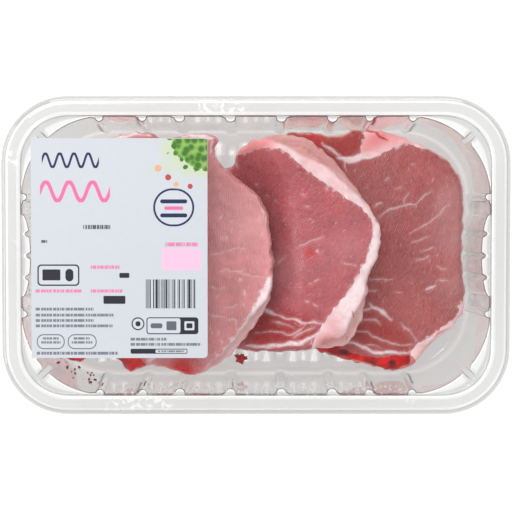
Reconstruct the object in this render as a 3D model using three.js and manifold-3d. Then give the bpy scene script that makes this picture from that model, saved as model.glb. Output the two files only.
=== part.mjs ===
// A sealed fresh meat pack: a clear thermoformed tray with a fluted wall, a clear lid film sealed to its
// flange, a paper label on the film, and three pork chops that lie shingled in the tray with a loose scrap.
// Millimetres, +Z up, +X along the pack. The origin is the middle of the tray's underside.
import * as THREE from 'three';
import Module from 'manifold-3d';

const wasm = await Module();
wasm.setup();

// Driving dimensions of the tray
const LENGTH = 230;
const WIDTH = 144;
const RIM_HEIGHT = 45;
const WALL = 0.6;
const OUTER_CORNER = 30;
const FLANGE = 9;
const MOUTH_CORNER = OUTER_CORNER - FLANGE;
const SKIRT = 1.9;
const SKIRT_DROP = 2.4;
const BEVEL = 1.5;
const BEVEL_DROP = 0.7;
const SHELF_DROP = 2.4;
const BODY_CORNER = 37;
const BODY_STEP = 0.2;
const DRAFT = 0.126;
const FILLET = 4;
const WALL_LEVELS = [31, 18];

// Ribs down the long walls, notches and the fluted stacking shelf in the short walls, grooves in the corners
const RIBS = [
  { at: 11.5, half: 2.6, depth: 2.6 },
  { at: 34.5, half: 2.6, depth: 2.6 },
  { at: 51.3, half: 2.1, depth: 2.2 },
  { at: 70.8, half: 2.1, depth: 2.2 },
];
const NOTCH = { at: 26.5, half: 1.9, depth: 2.3 };
const SHELF_HALF = 18.8;
const SHELF_DEPTH = 3.9;
const FLUTE_PITCH = 9.8;
const FLUTE_HALF = 1.7;
const FLUTE_DEPTH = 1.9;
const GROOVE_HALF = 1.5;
const GROOVE_DEPTH = 5.8;
const FOOT_SHARE = 0.5;
const GROOVE_FADE = 1.7;
const OUTER_SLIM = 0.45;
const CORNER_STEPS = 8;
const ARC_STEP = 6;

// Low bars pressed up in the floor, in groups that repeat along both long sides
const BAR_PITCH = 22.9;
const BAR_GROUPS = 7;
const BAR_TOP = 1.5;
const BAR_TAPER = 0.72;
const BARS = [
  { at: 0, width: 2.1, from: 47.5, to: 52 },
  { at: -5.1, width: 3.2, from: 46.5, to: 52.5 },
  { at: 5.1, width: 3.2, from: 46.5, to: 52.5 },
  { at: BAR_PITCH / 2, width: 3.2, from: 46.5, to: 49 },
];

// Lid film and label
const FILM = 0.2;
const FILM_MARGIN = 2.3;
const LABEL = { left: -101.1, right: -21.8, bottom: -46, top: 52.9, thick: 0.2, corner: 1.8 };

// Chops
const CHOP_THICK = 15;
const CHOP_FLOOR = 2;
const CHOP_GAP = 1;
const CHOP_POINTS = 48;
const CUT_GAP = 0.15;
const WALL_GAP = 0.35;
const LEFT_RISE = { from: -74, to: -44 };
const MIDDLE_RISE = { from: -3, to: 24 };
const MIDDLE_LEAN = { from: 18, to: 52, shift: 13 };

// The side of a chop from the underside up: share of its thickness, and how far in from its widest outline
const CHOP_SIDE = [
  { up: 0, in: 2.4 },
  { up: 0.16, in: 0.7 },
  { up: 0.45, in: 0 },
  { up: 0.8, in: 0.9 },
  { up: 0.95, in: 1.9 },
];
const CHOP_FACE_IN = 3.6;
const CHOP_INNER = [0.8, 0.56, 0.3];

// A loose torn scrap of meat
const SCRAP = { x: -7.6, y: -50.6, radius: 3.1, thick: 1.6, points: 20 };
const SCRAP_LOBES = [{ count: 5, depth: 0.16, turn: 0 }, { count: 3, depth: 0.1, turn: 1 }];
const SCRAP_STRETCH = 1.12;

const MATERIALS = {
  tray: { color: 0xd9dad8, roughness: 0.15, metalness: 0, transparent: true, opacity: 0.4 },
  film: { color: 0xf2f4f5, roughness: 0.08, metalness: 0, transparent: true, opacity: 0.15 },
  label: { color: 0xdfe4ec, roughness: 0.5, metalness: 0 },
  lean: { color: 0xb95f63, roughness: 0.4, metalness: 0 },
  fat: { color: 0xe6c3bd, roughness: 0.45, metalness: 0 },
  bone: { color: 0xa52a24, roughness: 0.4, metalness: 0 },
};

const pack = new THREE.Group();

function addMesh(name, geometry, finish) {
  const mesh = new THREE.Mesh(geometry, new THREE.MeshStandardMaterial(MATERIALS[finish]));
  mesh.name = name;
  pack.add(mesh);
}

// A closed skin traced ring by ring: from the middle of the underside outwards, up, and back to the middle
class Skin {
  constructor() {
    this.points = [];
    this.faces = [];
    this.last = null;
  }

  point(x, y, z) {
    this.points.push(x, y, z);
    return this.points.length / 3 - 1;
  }

  start(x, y, z) {
    this.last = [{ index: this.point(x, y, z), turn: 0 }];
  }

  ring(loop) {
    const next = loop.map(({ x, y, z, turn }) => ({ index: this.point(x, y, z), turn }));
    if (this.last.length === 1) {
      next.forEach((p, i) => this.face(this.last[0], next[(i + 1) % next.length], p));
    } else {
      this.band(this.last, next);
    }
    this.last = next;
  }

  end(x, y, z) {
    const tip = { index: this.point(x, y, z) };
    this.last.forEach((p, i) => this.face(p, this.last[(i + 1) % this.last.length], tip));
  }

  face(a, b, c) {
    this.faces.push(a.index, b.index, c.index);
  }

  // Joins two rings of any count in the order of their turns
  band(a, b) {
    const turn = (ring, i) => ring[i % ring.length].turn + (i >= ring.length ? 2 * Math.PI : 0);
    let i = 0;
    let j = 0;
    while (i < a.length || j < b.length) {
      const aNext = i < a.length && (j === b.length || turn(a, i + 1) <= turn(b, j + 1));
      if (aNext) {
        this.face(a[i % a.length], a[(i + 1) % a.length], b[j % b.length]);
        i += 1;
      } else {
        this.face(a[i % a.length], b[(j + 1) % b.length], b[j % b.length]);
        j += 1;
      }
    }
  }

  geometry() {
    const geometry = new THREE.BufferGeometry();
    geometry.setAttribute('position', new THREE.Float32BufferAttribute(this.points, 3));
    geometry.setIndex(this.faces);
    return geometry;
  }
}

function toSolid(geometry) {
  return new wasm.Manifold(new wasm.Mesh({
    numProp: 3,
    vertProperties: new Float32Array(geometry.attributes.position.array),
    triVerts: new Uint32Array(geometry.index.array),
  }));
}

function toGeometry(solid) {
  const { vertProperties, triVerts } = solid.getMesh();
  const geometry = new THREE.BufferGeometry();
  geometry.setAttribute('position', new THREE.Float32BufferAttribute(vertProperties, 3));
  geometry.setIndex(Array.from(triVerts));
  return geometry;
}

// An upright prism over a loop of [x, y] points that runs anticlockwise
function prism(loop, bottom, top) {
  const shape = new THREE.Shape(loop.map(([x, y]) => new THREE.Vector2(x, y)));
  const faces = THREE.ShapeUtils.triangulateShape(shape.getPoints(), []);
  const count = loop.length;
  const skin = new Skin();
  loop.forEach(([x, y]) => skin.point(x, y, bottom));
  loop.forEach(([x, y]) => skin.point(x, y, top));
  faces.forEach(([a, b, c]) => {
    skin.faces.push(a, c, b);
    skin.faces.push(a + count, b + count, c + count);
  });
  loop.forEach((p, i) => {
    const next = (i + 1) % count;
    skin.faces.push(i, next, next + count);
    skin.faces.push(i, next + count, i + count);
  });
  return skin.geometry();
}

// A rounded rectangle is a core rectangle grown by its corner radius, so each of its points is a station on the
// core and a direction. Stations are made for one quarter, from the +X axis to the +Y axis, and mirrored.
function quarterStation(core, corner, p) {
  const arc = corner * Math.PI / 2;
  if (p <= core.y) {
    return { x: core.x, y: p, nx: 1, ny: 0, p };
  }
  if (p < core.y + arc) {
    const angle = (p - core.y) / corner;
    return { x: core.x, y: core.y, nx: Math.cos(angle), ny: Math.sin(angle), p };
  }
  return { x: Math.max(core.x - (p - core.y - arc), 0), y: core.y, nx: 0, ny: 1, p };
}

function allRound(quarter) {
  const mirror = (s, sx, sy) => ({ ...s, x: s.x * sx, y: s.y * sy, nx: s.nx * sx, ny: s.ny * sy });
  const back = [...quarter].reverse();
  return [
    ...quarter,
    ...back.slice(1).map((s) => mirror(s, -1, 1)),
    ...quarter.slice(1).map((s) => mirror(s, -1, -1)),
    ...back.slice(1, -1).map((s) => mirror(s, 1, -1)),
  ];
}

function turnOf(x, y) {
  const turn = Math.atan2(y / WIDTH, x / LENGTH);
  return turn < -1e-9 ? turn + 2 * Math.PI : Math.max(turn, 0);
}

// Plain stations, with a few steps in each corner
function plainStations(core, corner) {
  const arc = corner * Math.PI / 2;
  const marks = [0];
  for (let i = 0; i <= CORNER_STEPS; i += 1) {
    marks.push(core.y + arc * i / CORNER_STEPS);
  }
  marks.push(core.y + arc + core.x);
  return allRound(marks.map((p) => quarterStation(core, corner, p)));
}

function plainLoop(stations, radius, z) {
  return stations.map((s) => {
    const x = s.x + s.nx * radius;
    const y = s.y + s.ny * radius;
    return { x, y, z, turn: turnOf(x, y) };
  });
}

// The tray's wall below the shelf
const BODY_CORE = {
  x: LENGTH / 2 - FLANGE - BODY_CORNER,
  y: WIDTH / 2 - FLANGE - BODY_CORNER,
};
const MOUTH_CORE = { x: LENGTH / 2 - OUTER_CORNER, y: WIDTH / 2 - OUTER_CORNER };
const BODY_ARC = BODY_CORNER * Math.PI / 2;
const QUARTER = BODY_CORE.y + BODY_ARC + BODY_CORE.x;
const GROOVE_AT = BODY_CORE.y + BODY_ARC / 2;
const SHELF_Z = RIM_HEIGHT - SHELF_DROP;
const HALF_ROUND = [-90, -60, -30, 0, 30, 60, 90].map((deg) => Math.sin(THREE.MathUtils.degToRad(deg)));
const FLUTE_STEPS = [-1, -0.5, 0, 0.5, 1];
const SHELF_STEPS = [0, 0.5, 1.6, 3.6];

// Where the stations of the fluted wall stand; slim is how much narrower the ribs are on the outer skin
function wallMarks(slim) {
  const marks = SHELF_STEPS.map((step) => SHELF_HALF - step);
  marks.push(FLUTE_PITCH / 2);
  FLUTE_STEPS.forEach((u) => {
    if (u >= 0) {
      marks.push(FLUTE_HALF * u);
    }
    marks.push(FLUTE_PITCH + FLUTE_HALF * u);
  });
  HALF_ROUND.forEach((u) => {
    marks.push(NOTCH.at + (NOTCH.half - slim) * u);
    RIBS.forEach((rib) => marks.push(QUARTER - rib.at + (rib.half - slim) * u));
  });
  FLUTE_STEPS.forEach((u) => marks.push(GROOVE_AT + (GROOVE_HALF + slim) * u));
  for (let p = NOTCH.at + ARC_STEP; p < QUARTER - RIBS[3].at - ARC_STEP / 2; p += ARC_STEP) {
    if (Math.abs(p - GROOVE_AT) > ARC_STEP / 2) {
      marks.push(p);
    }
  }
  RIBS.slice(1).forEach((rib, i) => marks.push(QUARTER - (rib.at + RIBS[i].at) / 2));
  marks.push(QUARTER);
  return marks.sort((a, b) => a - b);
}

function halfRound(distance, half) {
  return Math.sqrt(Math.max(0, 1 - (distance / half) ** 2));
}

function bell(distance, half) {
  return Math.abs(distance) < half ? 0.5 + 0.5 * Math.cos(Math.PI * distance / half) : 0;
}

// How far the wall stands inwards at a station, for ribs faded to share and grooves faded to grooveShare
function inset(p, slim, share, grooveShare) {
  const fromSide = QUARTER - p;
  const ribs = RIBS.map((rib) => rib.depth * halfRound(fromSide - rib.at, rib.half - slim));
  const notch = NOTCH.depth * halfRound(p - NOTCH.at, NOTCH.half - slim);
  const shelf = SHELF_DEPTH * halfRound(p, SHELF_HALF);
  const flutes = FLUTE_DEPTH * (bell(p, FLUTE_HALF) + bell(p - FLUTE_PITCH, FLUTE_HALF));
  const groove = GROOVE_DEPTH * bell(p - GROOVE_AT, GROOVE_HALF + slim);
  return share * (Math.max(...ribs, notch) + Math.max(shelf - flutes, 0)) - grooveShare * groove;
}

function wallSetback(z) {
  return BODY_STEP + DRAFT * (SHELF_Z - z);
}

// The fluted wall's outline at a height, on its inner or its outer skin
function wallLoop(z, outside, extra = 0, shareScale = 1) {
  const slim = outside ? OUTER_SLIM : 0;
  const down = (SHELF_Z - z) / SHELF_Z;
  const share = (1 - down * (1 - FOOT_SHARE)) * shareScale;
  const grooveShare = Math.max(0, 1 - down * GROOVE_FADE) * shareScale;
  const stations = allRound(wallMarks(slim).map((p) => quarterStation(BODY_CORE, BODY_CORNER, p)));
  return stations.map((s) => {
    const radius = BODY_CORNER - wallSetback(z) - extra - inset(s.p, slim, share, grooveShare);
    const flush = outside ? radius + WALL : radius;
    return {
      x: s.x + s.nx * flush,
      y: s.y + s.ny * flush,
      z,
      turn: turnOf(s.x + s.nx * BODY_CORNER, s.y + s.ny * BODY_CORNER),
    };
  });
}

// The mouth's outline at the stations of the fluted wall, where the shelves begin
function mouthLoop(z, outside) {
  const slim = outside ? OUTER_SLIM : 0;
  const target = MOUTH_CORNER - BODY_STEP / 2 + (outside ? WALL : 0);
  const stations = allRound(wallMarks(slim).map((p) => quarterStation(BODY_CORE, BODY_CORNER, p)));
  return stations.map((s) => {
    let low = 0;
    let high = 2 * BODY_CORNER;
    for (let i = 0; i < 40; i += 1) {
      const middle = (low + high) / 2;
      const dx = Math.max(Math.abs(s.x + s.nx * middle) - MOUTH_CORE.x, 0);
      const dy = Math.max(Math.abs(s.y + s.ny * middle) - MOUTH_CORE.y, 0);
      if (Math.hypot(dx, dy) > target) {
        high = middle;
      } else {
        low = middle;
      }
    }
    const x = s.x + s.nx * low;
    const y = s.y + s.ny * low;
    return { x, y, z, turn: turnOf(s.x + s.nx * BODY_CORNER, s.y + s.ny * BODY_CORNER) };
  });
}

function makeTray() {
  const mouth = plainStations(MOUTH_CORE, MOUTH_CORNER);
  const floor = plainStations(BODY_CORE, BODY_CORNER);
  const filletTop = WALL + FILLET;
  const filletSide = wallSetback(filletTop);
  const floorRadius = BODY_CORNER - filletSide - FILLET;
  const flangeLoop = (out, z) => plainLoop(mouth, MOUTH_CORNER + out, z);
  const plateau = [BEVEL, FLANGE - SKIRT - BEVEL];
  const skin = new Skin();

  // Half way round the fillet between the wall and the floor
  function filletLoop(outside) {
    const radius = outside ? FILLET + WALL : FILLET;
    const halfWayIn = FILLET - radius * Math.SQRT1_2 + (outside ? WALL : 0);
    const loop = wallLoop(filletTop, outside, halfWayIn, FOOT_SHARE);
    return loop.map((p) => ({ ...p, z: filletTop - radius * Math.SQRT1_2 }));
  }

  skin.start(0, 0, 0);
  skin.ring(plainLoop(floor, floorRadius, 0));
  skin.ring(filletLoop(true));
  skin.ring(wallLoop(filletTop, true));
  [...WALL_LEVELS].reverse().forEach((z) => skin.ring(wallLoop(z, true)));
  skin.ring(wallLoop(SHELF_Z, true).map((p) => ({ ...p, z: SHELF_Z - WALL })));
  skin.ring(mouthLoop(SHELF_Z - WALL, true));
  skin.ring(flangeLoop(WALL, RIM_HEIGHT - BEVEL_DROP - WALL));
  skin.ring(flangeLoop(plateau[0] + WALL / 2, RIM_HEIGHT - WALL));
  skin.ring(flangeLoop(plateau[1] - WALL / 2, RIM_HEIGHT - WALL));
  skin.ring(flangeLoop(FLANGE - SKIRT - WALL / 2, RIM_HEIGHT - BEVEL_DROP - WALL));
  skin.ring(flangeLoop(FLANGE - WALL / 2, RIM_HEIGHT - BEVEL_DROP - SKIRT_DROP));
  skin.ring(flangeLoop(FLANGE, RIM_HEIGHT - BEVEL_DROP - SKIRT_DROP + WALL / 2));
  skin.ring(flangeLoop(FLANGE - SKIRT, RIM_HEIGHT - BEVEL_DROP));
  skin.ring(flangeLoop(plateau[1], RIM_HEIGHT));
  skin.ring(flangeLoop(plateau[0], RIM_HEIGHT));
  skin.ring(flangeLoop(0, RIM_HEIGHT - BEVEL_DROP));
  skin.ring(mouthLoop(SHELF_Z, false));
  skin.ring(wallLoop(SHELF_Z, false));
  WALL_LEVELS.forEach((z) => skin.ring(wallLoop(z, false)));
  skin.ring(wallLoop(filletTop, false));
  skin.ring(filletLoop(false));
  skin.ring(plainLoop(floor, floorRadius, WALL));
  skin.end(0, 0, WALL);

  let tray = toSolid(skin.geometry());
  for (let g = 0; g < BAR_GROUPS; g += 1) {
    const middle = (g - (BAR_GROUPS - 1) / 2) * BAR_PITCH;
    BARS.filter((bar) => g < BAR_GROUPS - 1 || bar.at < BAR_PITCH / 2).forEach((bar) => {
      [-1, 1].forEach((side) => {
        tray = tray.add(toSolid(floorBar(middle + bar.at, bar, side)));
      });
    });
  }
  addMesh('tray', toGeometry(tray), 'tray');
}

// A pressed bar, wider towards the wall, sunk half into the floor's thickness
function floorBar(x, bar, side) {
  const inner = bar.width * BAR_TAPER / 2;
  const outer = bar.width / 2;
  const loop = [[x - inner, bar.from], [x + inner, bar.from], [x + outer, bar.to], [x - outer, bar.to]];
  const placed = side > 0 ? loop : loop.map(([px, py]) => [px, -py]).reverse();
  return prism(placed, WALL / 2, BAR_TOP);
}

function roundedLoop(left, right, bottom, top, corner, steps) {
  const loop = [];
  const corners = [[right, top, 0], [left, top, 1], [left, bottom, 2], [right, bottom, 3]];
  corners.forEach(([x, y, quarter]) => {
    const cx = x - Math.sign(x - (left + right) / 2) * corner;
    const cy = y - Math.sign(y - (top + bottom) / 2) * corner;
    for (let i = 0; i <= steps; i += 1) {
      const angle = (quarter + i / steps) * Math.PI / 2;
      loop.push([cx + corner * Math.cos(angle), cy + corner * Math.sin(angle)]);
    }
  });
  return loop;
}

function makeFilm() {
  const halfX = LENGTH / 2 - FILM_MARGIN;
  const halfY = WIDTH / 2 - FILM_MARGIN;
  const loop = roundedLoop(-halfX, halfX, -halfY, halfY, OUTER_CORNER - FILM_MARGIN, CORNER_STEPS);
  addMesh('lid_film', prism(loop, RIM_HEIGHT, RIM_HEIGHT + FILM), 'film');
}

function makeLabel() {
  const loop = roundedLoop(LABEL.left, LABEL.right, LABEL.bottom, LABEL.top, LABEL.corner, 3);
  const base = RIM_HEIGHT + FILM;
  addMesh('label', prism(loop, base, base + LABEL.thick), 'label');
}

// Heights that the chops lie at: each rises from the floor on to the next one's top
function ease(value, from, to) {
  const t = Math.min(Math.max((value - from) / (to - from), 0), 1);
  return t * t * (3 - 2 * t);
}

function rightBase() {
  return CHOP_FLOOR;
}

function middleBase(x, y) {
  const shift = MIDDLE_LEAN.shift * ease(y, MIDDLE_LEAN.from, MIDDLE_LEAN.to);
  const rise = ease(x, MIDDLE_RISE.from - shift, MIDDLE_RISE.to - shift);
  return CHOP_FLOOR + (CHOP_THICK + CHOP_GAP) * rise;
}

function leftBase(x, y) {
  return middleBase(x, y) + (CHOP_THICK + CHOP_GAP) * ease(x, LEFT_RISE.from, LEFT_RISE.to);
}

// Turns a loop anticlockwise
function orient(loop) {
  const area = THREE.ShapeUtils.area(loop.map(([x, y]) => new THREE.Vector2(x, y)));
  return area < 0 ? [...loop].reverse() : loop;
}

function smoothLoop(points, count) {
  const knots = points.map(([x, y]) => new THREE.Vector3(x, y, 0));
  const curve = new THREE.CatmullRomCurve3(knots, true, 'centripetal');
  return curve.getSpacedPoints(count).slice(0, count).map((p) => [p.x, p.y]);
}

// Moves each point of a loop sideways: outwards where the distance is positive
function offsetLoop(loop, distance) {
  const count = loop.length;
  return loop.map(([x, y], i) => {
    const [ax, ay] = loop[(i + count - 1) % count];
    const [bx, by] = loop[(i + 1) % count];
    const length = Math.hypot(bx - ax, by - ay);
    const d = typeof distance === 'function' ? distance(x, y) : distance;
    return [x + d * (by - ay) / length, y - d * (bx - ax) / length];
  });
}

// slant is how much further in the cut face stands than the widest outline, where the side face shows
function chopSolid({ outline, centre, base, slant }) {
  const loop = smoothLoop(orient(outline), CHOP_POINTS);
  const [cx, cy] = centre;
  const lift = (points, up) => points.map(([x, y], i) => ({
    x,
    y,
    z: base(x, y) + CHOP_THICK * up,
    turn: 2 * Math.PI * i / CHOP_POINTS,
  }));
  const shrink = (points, share) => points.map(([x, y]) => [cx + (x - cx) * share, cy + (y - cy) * share]);
  const side = (level) => offsetLoop(loop, (x, y) => -level.in - slant(x, y) * level.up);
  const face = offsetLoop(loop, (x, y) => -CHOP_FACE_IN - slant(x, y));
  const under = side(CHOP_SIDE[0]);
  const skin = new Skin();
  skin.start(cx, cy, base(cx, cy));
  [...CHOP_INNER].reverse().forEach((share) => skin.ring(lift(shrink(under, share), 0)));
  CHOP_SIDE.forEach((level) => skin.ring(lift(side(level), level.up)));
  skin.ring(lift(face, 1));
  CHOP_INNER.forEach((share) => skin.ring(lift(shrink(face, share), 1)));
  skin.end(cx, cy, base(cx, cy) + CHOP_THICK);
  return toSolid(skin.geometry()).intersect(well);
}

// The room inside the tray, a little clear of its wall, that the meat is pressed into
function makeWell() {
  const skin = new Skin();
  skin.start(0, 0, BAR_TOP + WALL_GAP);
  const foot = wallLoop(WALL + FILLET, false, FILLET / 2, FOOT_SHARE);
  skin.ring(foot.map((p) => ({ ...p, z: BAR_TOP + WALL_GAP })));
  skin.ring(wallLoop(WALL + FILLET, false, WALL_GAP));
  [...WALL_LEVELS].reverse().forEach((z) => skin.ring(wallLoop(z, false, WALL_GAP)));
  skin.ring(wallLoop(SHELF_Z, false, WALL_GAP));
  skin.end(0, 0, SHELF_Z);
  return toSolid(skin.geometry());
}

// A cut runs along a smooth line; beyond its ends the loop goes round the piece by way of far corners.
function cutLoop(line, far) {
  const knots = line.map(([x, y]) => new THREE.Vector3(x, y, 0));
  const curve = new THREE.CatmullRomCurve3(knots, false, 'centripetal');
  return orient([...curve.getPoints(line.length * 2).map((p) => [p.x, p.y]), ...far]);
}

// Splits a chop along the loop into what is inside it and what is outside
function split(solid, loop) {
  const inside = toSolid(prism(offsetLoop(loop, -CUT_GAP), 0, RIM_HEIGHT));
  const outside = toSolid(prism(offsetLoop(loop, CUT_GAP), 0, RIM_HEIGHT));
  return [solid.intersect(inside), solid.subtract(outside)];
}

function largest(solid) {
  return solid.decompose().sort((a, b) => b.volume() - a.volume())[0];
}

function addMeat(name, solid, finish) {
  addMesh(name, toGeometry(largest(solid)), finish);
}

function makeRightChop() {
  const chop = chopSolid({
    outline: [
      [14, 56], [24, 57.5], [36, 55.5], [49, 59], [66, 56], [81, 50], [92, 42.5], [97.5, 32], [97.8, 14],
      [97.6, -6], [99, -19.5], [96.5, -31], [84, -41.5], [75.5, -52], [67, -55.5], [56, -54], [40, -49.5],
      [27, -44.5], [28, -28], [29, -8], [27, 16], [21, 38],
    ],
    centre: [62, 4],
    base: rightBase,
    slant: () => 0,
  });
  const fatCapCut = cutLoop(
    [[49, 66], [51, 56], [49, 47], [55, 45.5], [62, 48.5], [70, 51.5], [79, 49.5], [86, 52]],
    [[120, 52], [120, -80], [0, -80], [0, 66]],
  );
  const [rest, fatCap] = split(chop, fatCapCut);
  const boneCut = cutLoop(
    [
      [16, -41], [27, -41.5], [37.5, -43.5], [45, -46.5], [56, -49], [66.5, -48], [73, -48.5], [77, -55],
      [76, -66],
    ],
    [[110, -66], [110, 70], [10, 70]],
  );
  const [flesh, bone] = split(rest, boneCut);
  const fatTailCut = cutLoop(
    [[104, -19], [97, -22], [94.5, -29], [86.5, -35.5], [79.5, -40.5], [75, -43], [72, -49], [72, -62]],
    [[0, -62], [0, 80], [104, 80]],
  );
  const [lean, fatTail] = split(flesh, fatTailCut);
  addMeat('right_chop_lean', lean, 'lean');
  addMeat('right_chop_fat_cap', fatCap, 'fat');
  addMeat('right_chop_fat_tail', fatTail, 'fat');
  addMeat('right_chop_bone', bone, 'bone');
}

function makeMiddleChop() {
  const chop = chopSolid({
    outline: [
      [-11, 42], [-8, 49], [-1, 53.5], [14.5, 55.5], [24, 53.5], [32, 47.5], [41, 38], [50, 26], [56, 16],
      [58, 8.5], [56, -2], [51.5, -13], [51.5, -19], [43.5, -41], [26.5, -44], [3.5, -46.5], [-6, -46],
      [-22, -39], [-33, -22], [-36, 0], [-33, 20], [-23, 35],
    ],
    centre: [14, 4],
    base: middleBase,
    slant: (x, y) => 4.5 * ease(y, 15, 35) * ease(x, 0, 16) * (1 - ease(x, 44, 56)),
  });
  const rimCut = cutLoop(
    [
      [-22, 47], [-7, 46.5], [1, 49], [12, 48], [21, 40.5], [31, 33.5], [41.5, 26], [49, 21], [53, 15.5],
      [53.2, 9], [51, 0], [47.5, -8], [43, -15.5], [36, -24.5], [30, -33], [26, -41], [24, -56],
    ],
    [[-60, -56], [-60, 47]],
  );
  const [lean, fat] = split(chop, rimCut);
  addMeat('middle_chop_lean', lean, 'lean');
  addMeat('middle_chop_fat_rim', fat, 'fat');
}

function makeLeftChop() {
  const chop = chopSolid({
    outline: [
      [-78, 48], [-68, 54.5], [-52, 57], [-42, 53.5], [-29, 56], [-17.5, 54], [-19, 46], [-11, 37], [0, 29],
      [5, 19], [7.4, 4], [7.8, -14], [4, -26], [-3.5, -37], [-12, -47], [-27, -56], [-38, -54], [-50, -51.5],
      [-59, -55.5], [-65, -50], [-73, -43.5], [-82, -49.5], [-93, -47.5], [-92, -28], [-86, 0], [-83, 28],
    ],
    centre: [-42, 0],
    base: leftBase,
    slant: (x, y) => 3.5 * (1 - ease(y, -32, -14)) * ease(x, -30, -14),
  });
  const rimCut = cutLoop(
    [[14, -6], [6.5, -9], [1, -20], [-4.5, -29.5], [-10.5, -38], [-17, -46], [-25, -54], [-30, -66]],
    [[-120, -66], [-120, 70], [14, 70]],
  );
  const [rest, fat] = split(chop, rimCut);
  const ribCut = cutLoop(
    [[-68, -64], [-67, -50], [-63, -44.5], [-56, -44.5], [-51, -49], [-50, -64]],
    [[20, -64], [20, 80], [-120, 80], [-120, -64]],
  );
  const [flesh, rib] = split(rest, ribCut);
  const chineCut = cutLoop(
    [[-105, -38], [-92, -38.5], [-84, -40], [-78, -44], [-76, -60]],
    [[20, -60], [20, 80], [-105, 80]],
  );
  const [lean, chine] = split(flesh, chineCut);
  addMeat('left_chop_lean', lean, 'lean');
  addMeat('left_chop_fat_rim', fat, 'fat');
  addMeat('left_chop_rib_bone', rib, 'bone');
  addMeat('left_chop_chine_bone', chine, 'bone');
}

// A torn scrap of meat on the floor between two chops
function makeScrap() {
  const at = (i, share) => {
    const angle = 2 * Math.PI * i / SCRAP.points;
    const lobes = SCRAP_LOBES.map((lobe) => lobe.depth * Math.cos(lobe.count * angle - lobe.turn));
    const ragged = lobes.reduce((sum, depth) => sum + depth, 1);
    const r = SCRAP.radius * ragged * share;
    return { x: SCRAP.x + SCRAP_STRETCH * r * Math.cos(angle), y: SCRAP.y + r * Math.sin(angle), turn: angle };
  };
  const ring = (share, z) => Array.from({ length: SCRAP.points }, (_, i) => ({ ...at(i, share), z }));
  const skin = new Skin();
  skin.start(SCRAP.x, SCRAP.y, CHOP_FLOOR);
  skin.ring(ring(0.8, CHOP_FLOOR));
  skin.ring(ring(1, CHOP_FLOOR + SCRAP.thick * 0.4));
  skin.ring(ring(0.7, CHOP_FLOOR + SCRAP.thick));
  skin.end(SCRAP.x, SCRAP.y, CHOP_FLOOR + SCRAP.thick * 1.1);
  addMesh('meat_scrap', skin.geometry(), 'lean');
}

const well = makeWell();
makeTray();
makeFilm();
makeLabel();
makeLeftChop();
makeMiddleChop();
makeRightChop();
makeScrap();

export default pack;
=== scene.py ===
"""A sealed fresh meat pack: a clear ribbed tray, a lid film, a paper label and three shingled pork chops."""
import math

import bpy
import numpy as np
from bpy.props import FloatProperty, FloatVectorProperty, IntProperty, PointerProperty
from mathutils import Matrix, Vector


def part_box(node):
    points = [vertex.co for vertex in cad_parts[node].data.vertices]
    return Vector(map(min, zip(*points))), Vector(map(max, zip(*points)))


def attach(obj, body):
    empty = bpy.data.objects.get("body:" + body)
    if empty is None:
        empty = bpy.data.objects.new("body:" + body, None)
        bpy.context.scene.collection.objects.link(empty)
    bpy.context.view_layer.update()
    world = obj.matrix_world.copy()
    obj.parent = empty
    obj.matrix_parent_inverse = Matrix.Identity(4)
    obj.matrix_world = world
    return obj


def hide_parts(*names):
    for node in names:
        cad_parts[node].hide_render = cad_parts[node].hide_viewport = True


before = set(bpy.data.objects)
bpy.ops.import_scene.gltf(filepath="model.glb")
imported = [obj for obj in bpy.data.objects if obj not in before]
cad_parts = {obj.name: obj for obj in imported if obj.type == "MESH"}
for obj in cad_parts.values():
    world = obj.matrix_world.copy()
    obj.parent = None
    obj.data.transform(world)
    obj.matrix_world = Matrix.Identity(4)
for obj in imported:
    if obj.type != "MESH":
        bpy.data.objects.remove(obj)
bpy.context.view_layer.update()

bl_info = {
    "name": "Meat Tray Pack",
    "version": (1, 0, 0),
    "blender": (4, 5, 0),
    "location": "3D View > Sidebar > Meat Pack",
    "description": "Models a sealed clear tray of pork chops with its film, label and studio stage",
    "category": "Object",
}

MM = 0.001


def box_mm(node):
    """Lowest and highest corner of a node in millimetres."""
    return [np.array(corner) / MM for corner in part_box(node)]


# The camera over the pack, in millimetres: its height, its distance back and the width it sees at the rim
EYE_HEIGHT = 705
EYE_BACK = 24
VIEW_WIDTH = 230.4
SENSOR = 36

# Driving dimensions of the tray, in millimetres
TRAY_LOW, TRAY_HIGH = box_mm("tray")
LENGTH = TRAY_HIGH[0] - TRAY_LOW[0]
WIDTH = TRAY_HIGH[1] - TRAY_LOW[1]
RIM_HEIGHT = TRAY_HIGH[2]
WALL = 0.6
OUTER_CORNER = 30
FLANGE = 9
SKIRT = 1.9
SKIRT_DROP = 2.4
BEVEL = 1.5
BEVEL_DROP = 0.7
SHELF_DROP = 2.4
BODY_CORNER = 37
BODY_STEP = 0.2
DRAFT = 0.126
FILLET = 4
RIBS = [(11.5, 2.6, 2.6), (34.5, 2.6, 2.6), (51.3, 2.1, 2.2), (70.8, 2.1, 2.2)]
NOTCH = (26.5, 1.9, 2.3)
SHELF_HALF = 18.8
SHELF_DEPTH = 3.9
FLUTE_PITCH = 9.8
FLUTE_HALF = 1.7
FLUTE_DEPTH = 1.9
# Places along the quarter and half width of the painted shade that darkens the wall in the flutes
FLUTE_SHADES = (0, FLUTE_PITCH, 22.4)
FLUTE_SHADE_HALF = 3.2
GROOVE_HALF = 1.35
GROOVE_DEPTH = 5.4
FOOT_SHARE = 0.5
GROOVE_FADE = 6
LIP = 0.45
HALVINGS = 40

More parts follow.
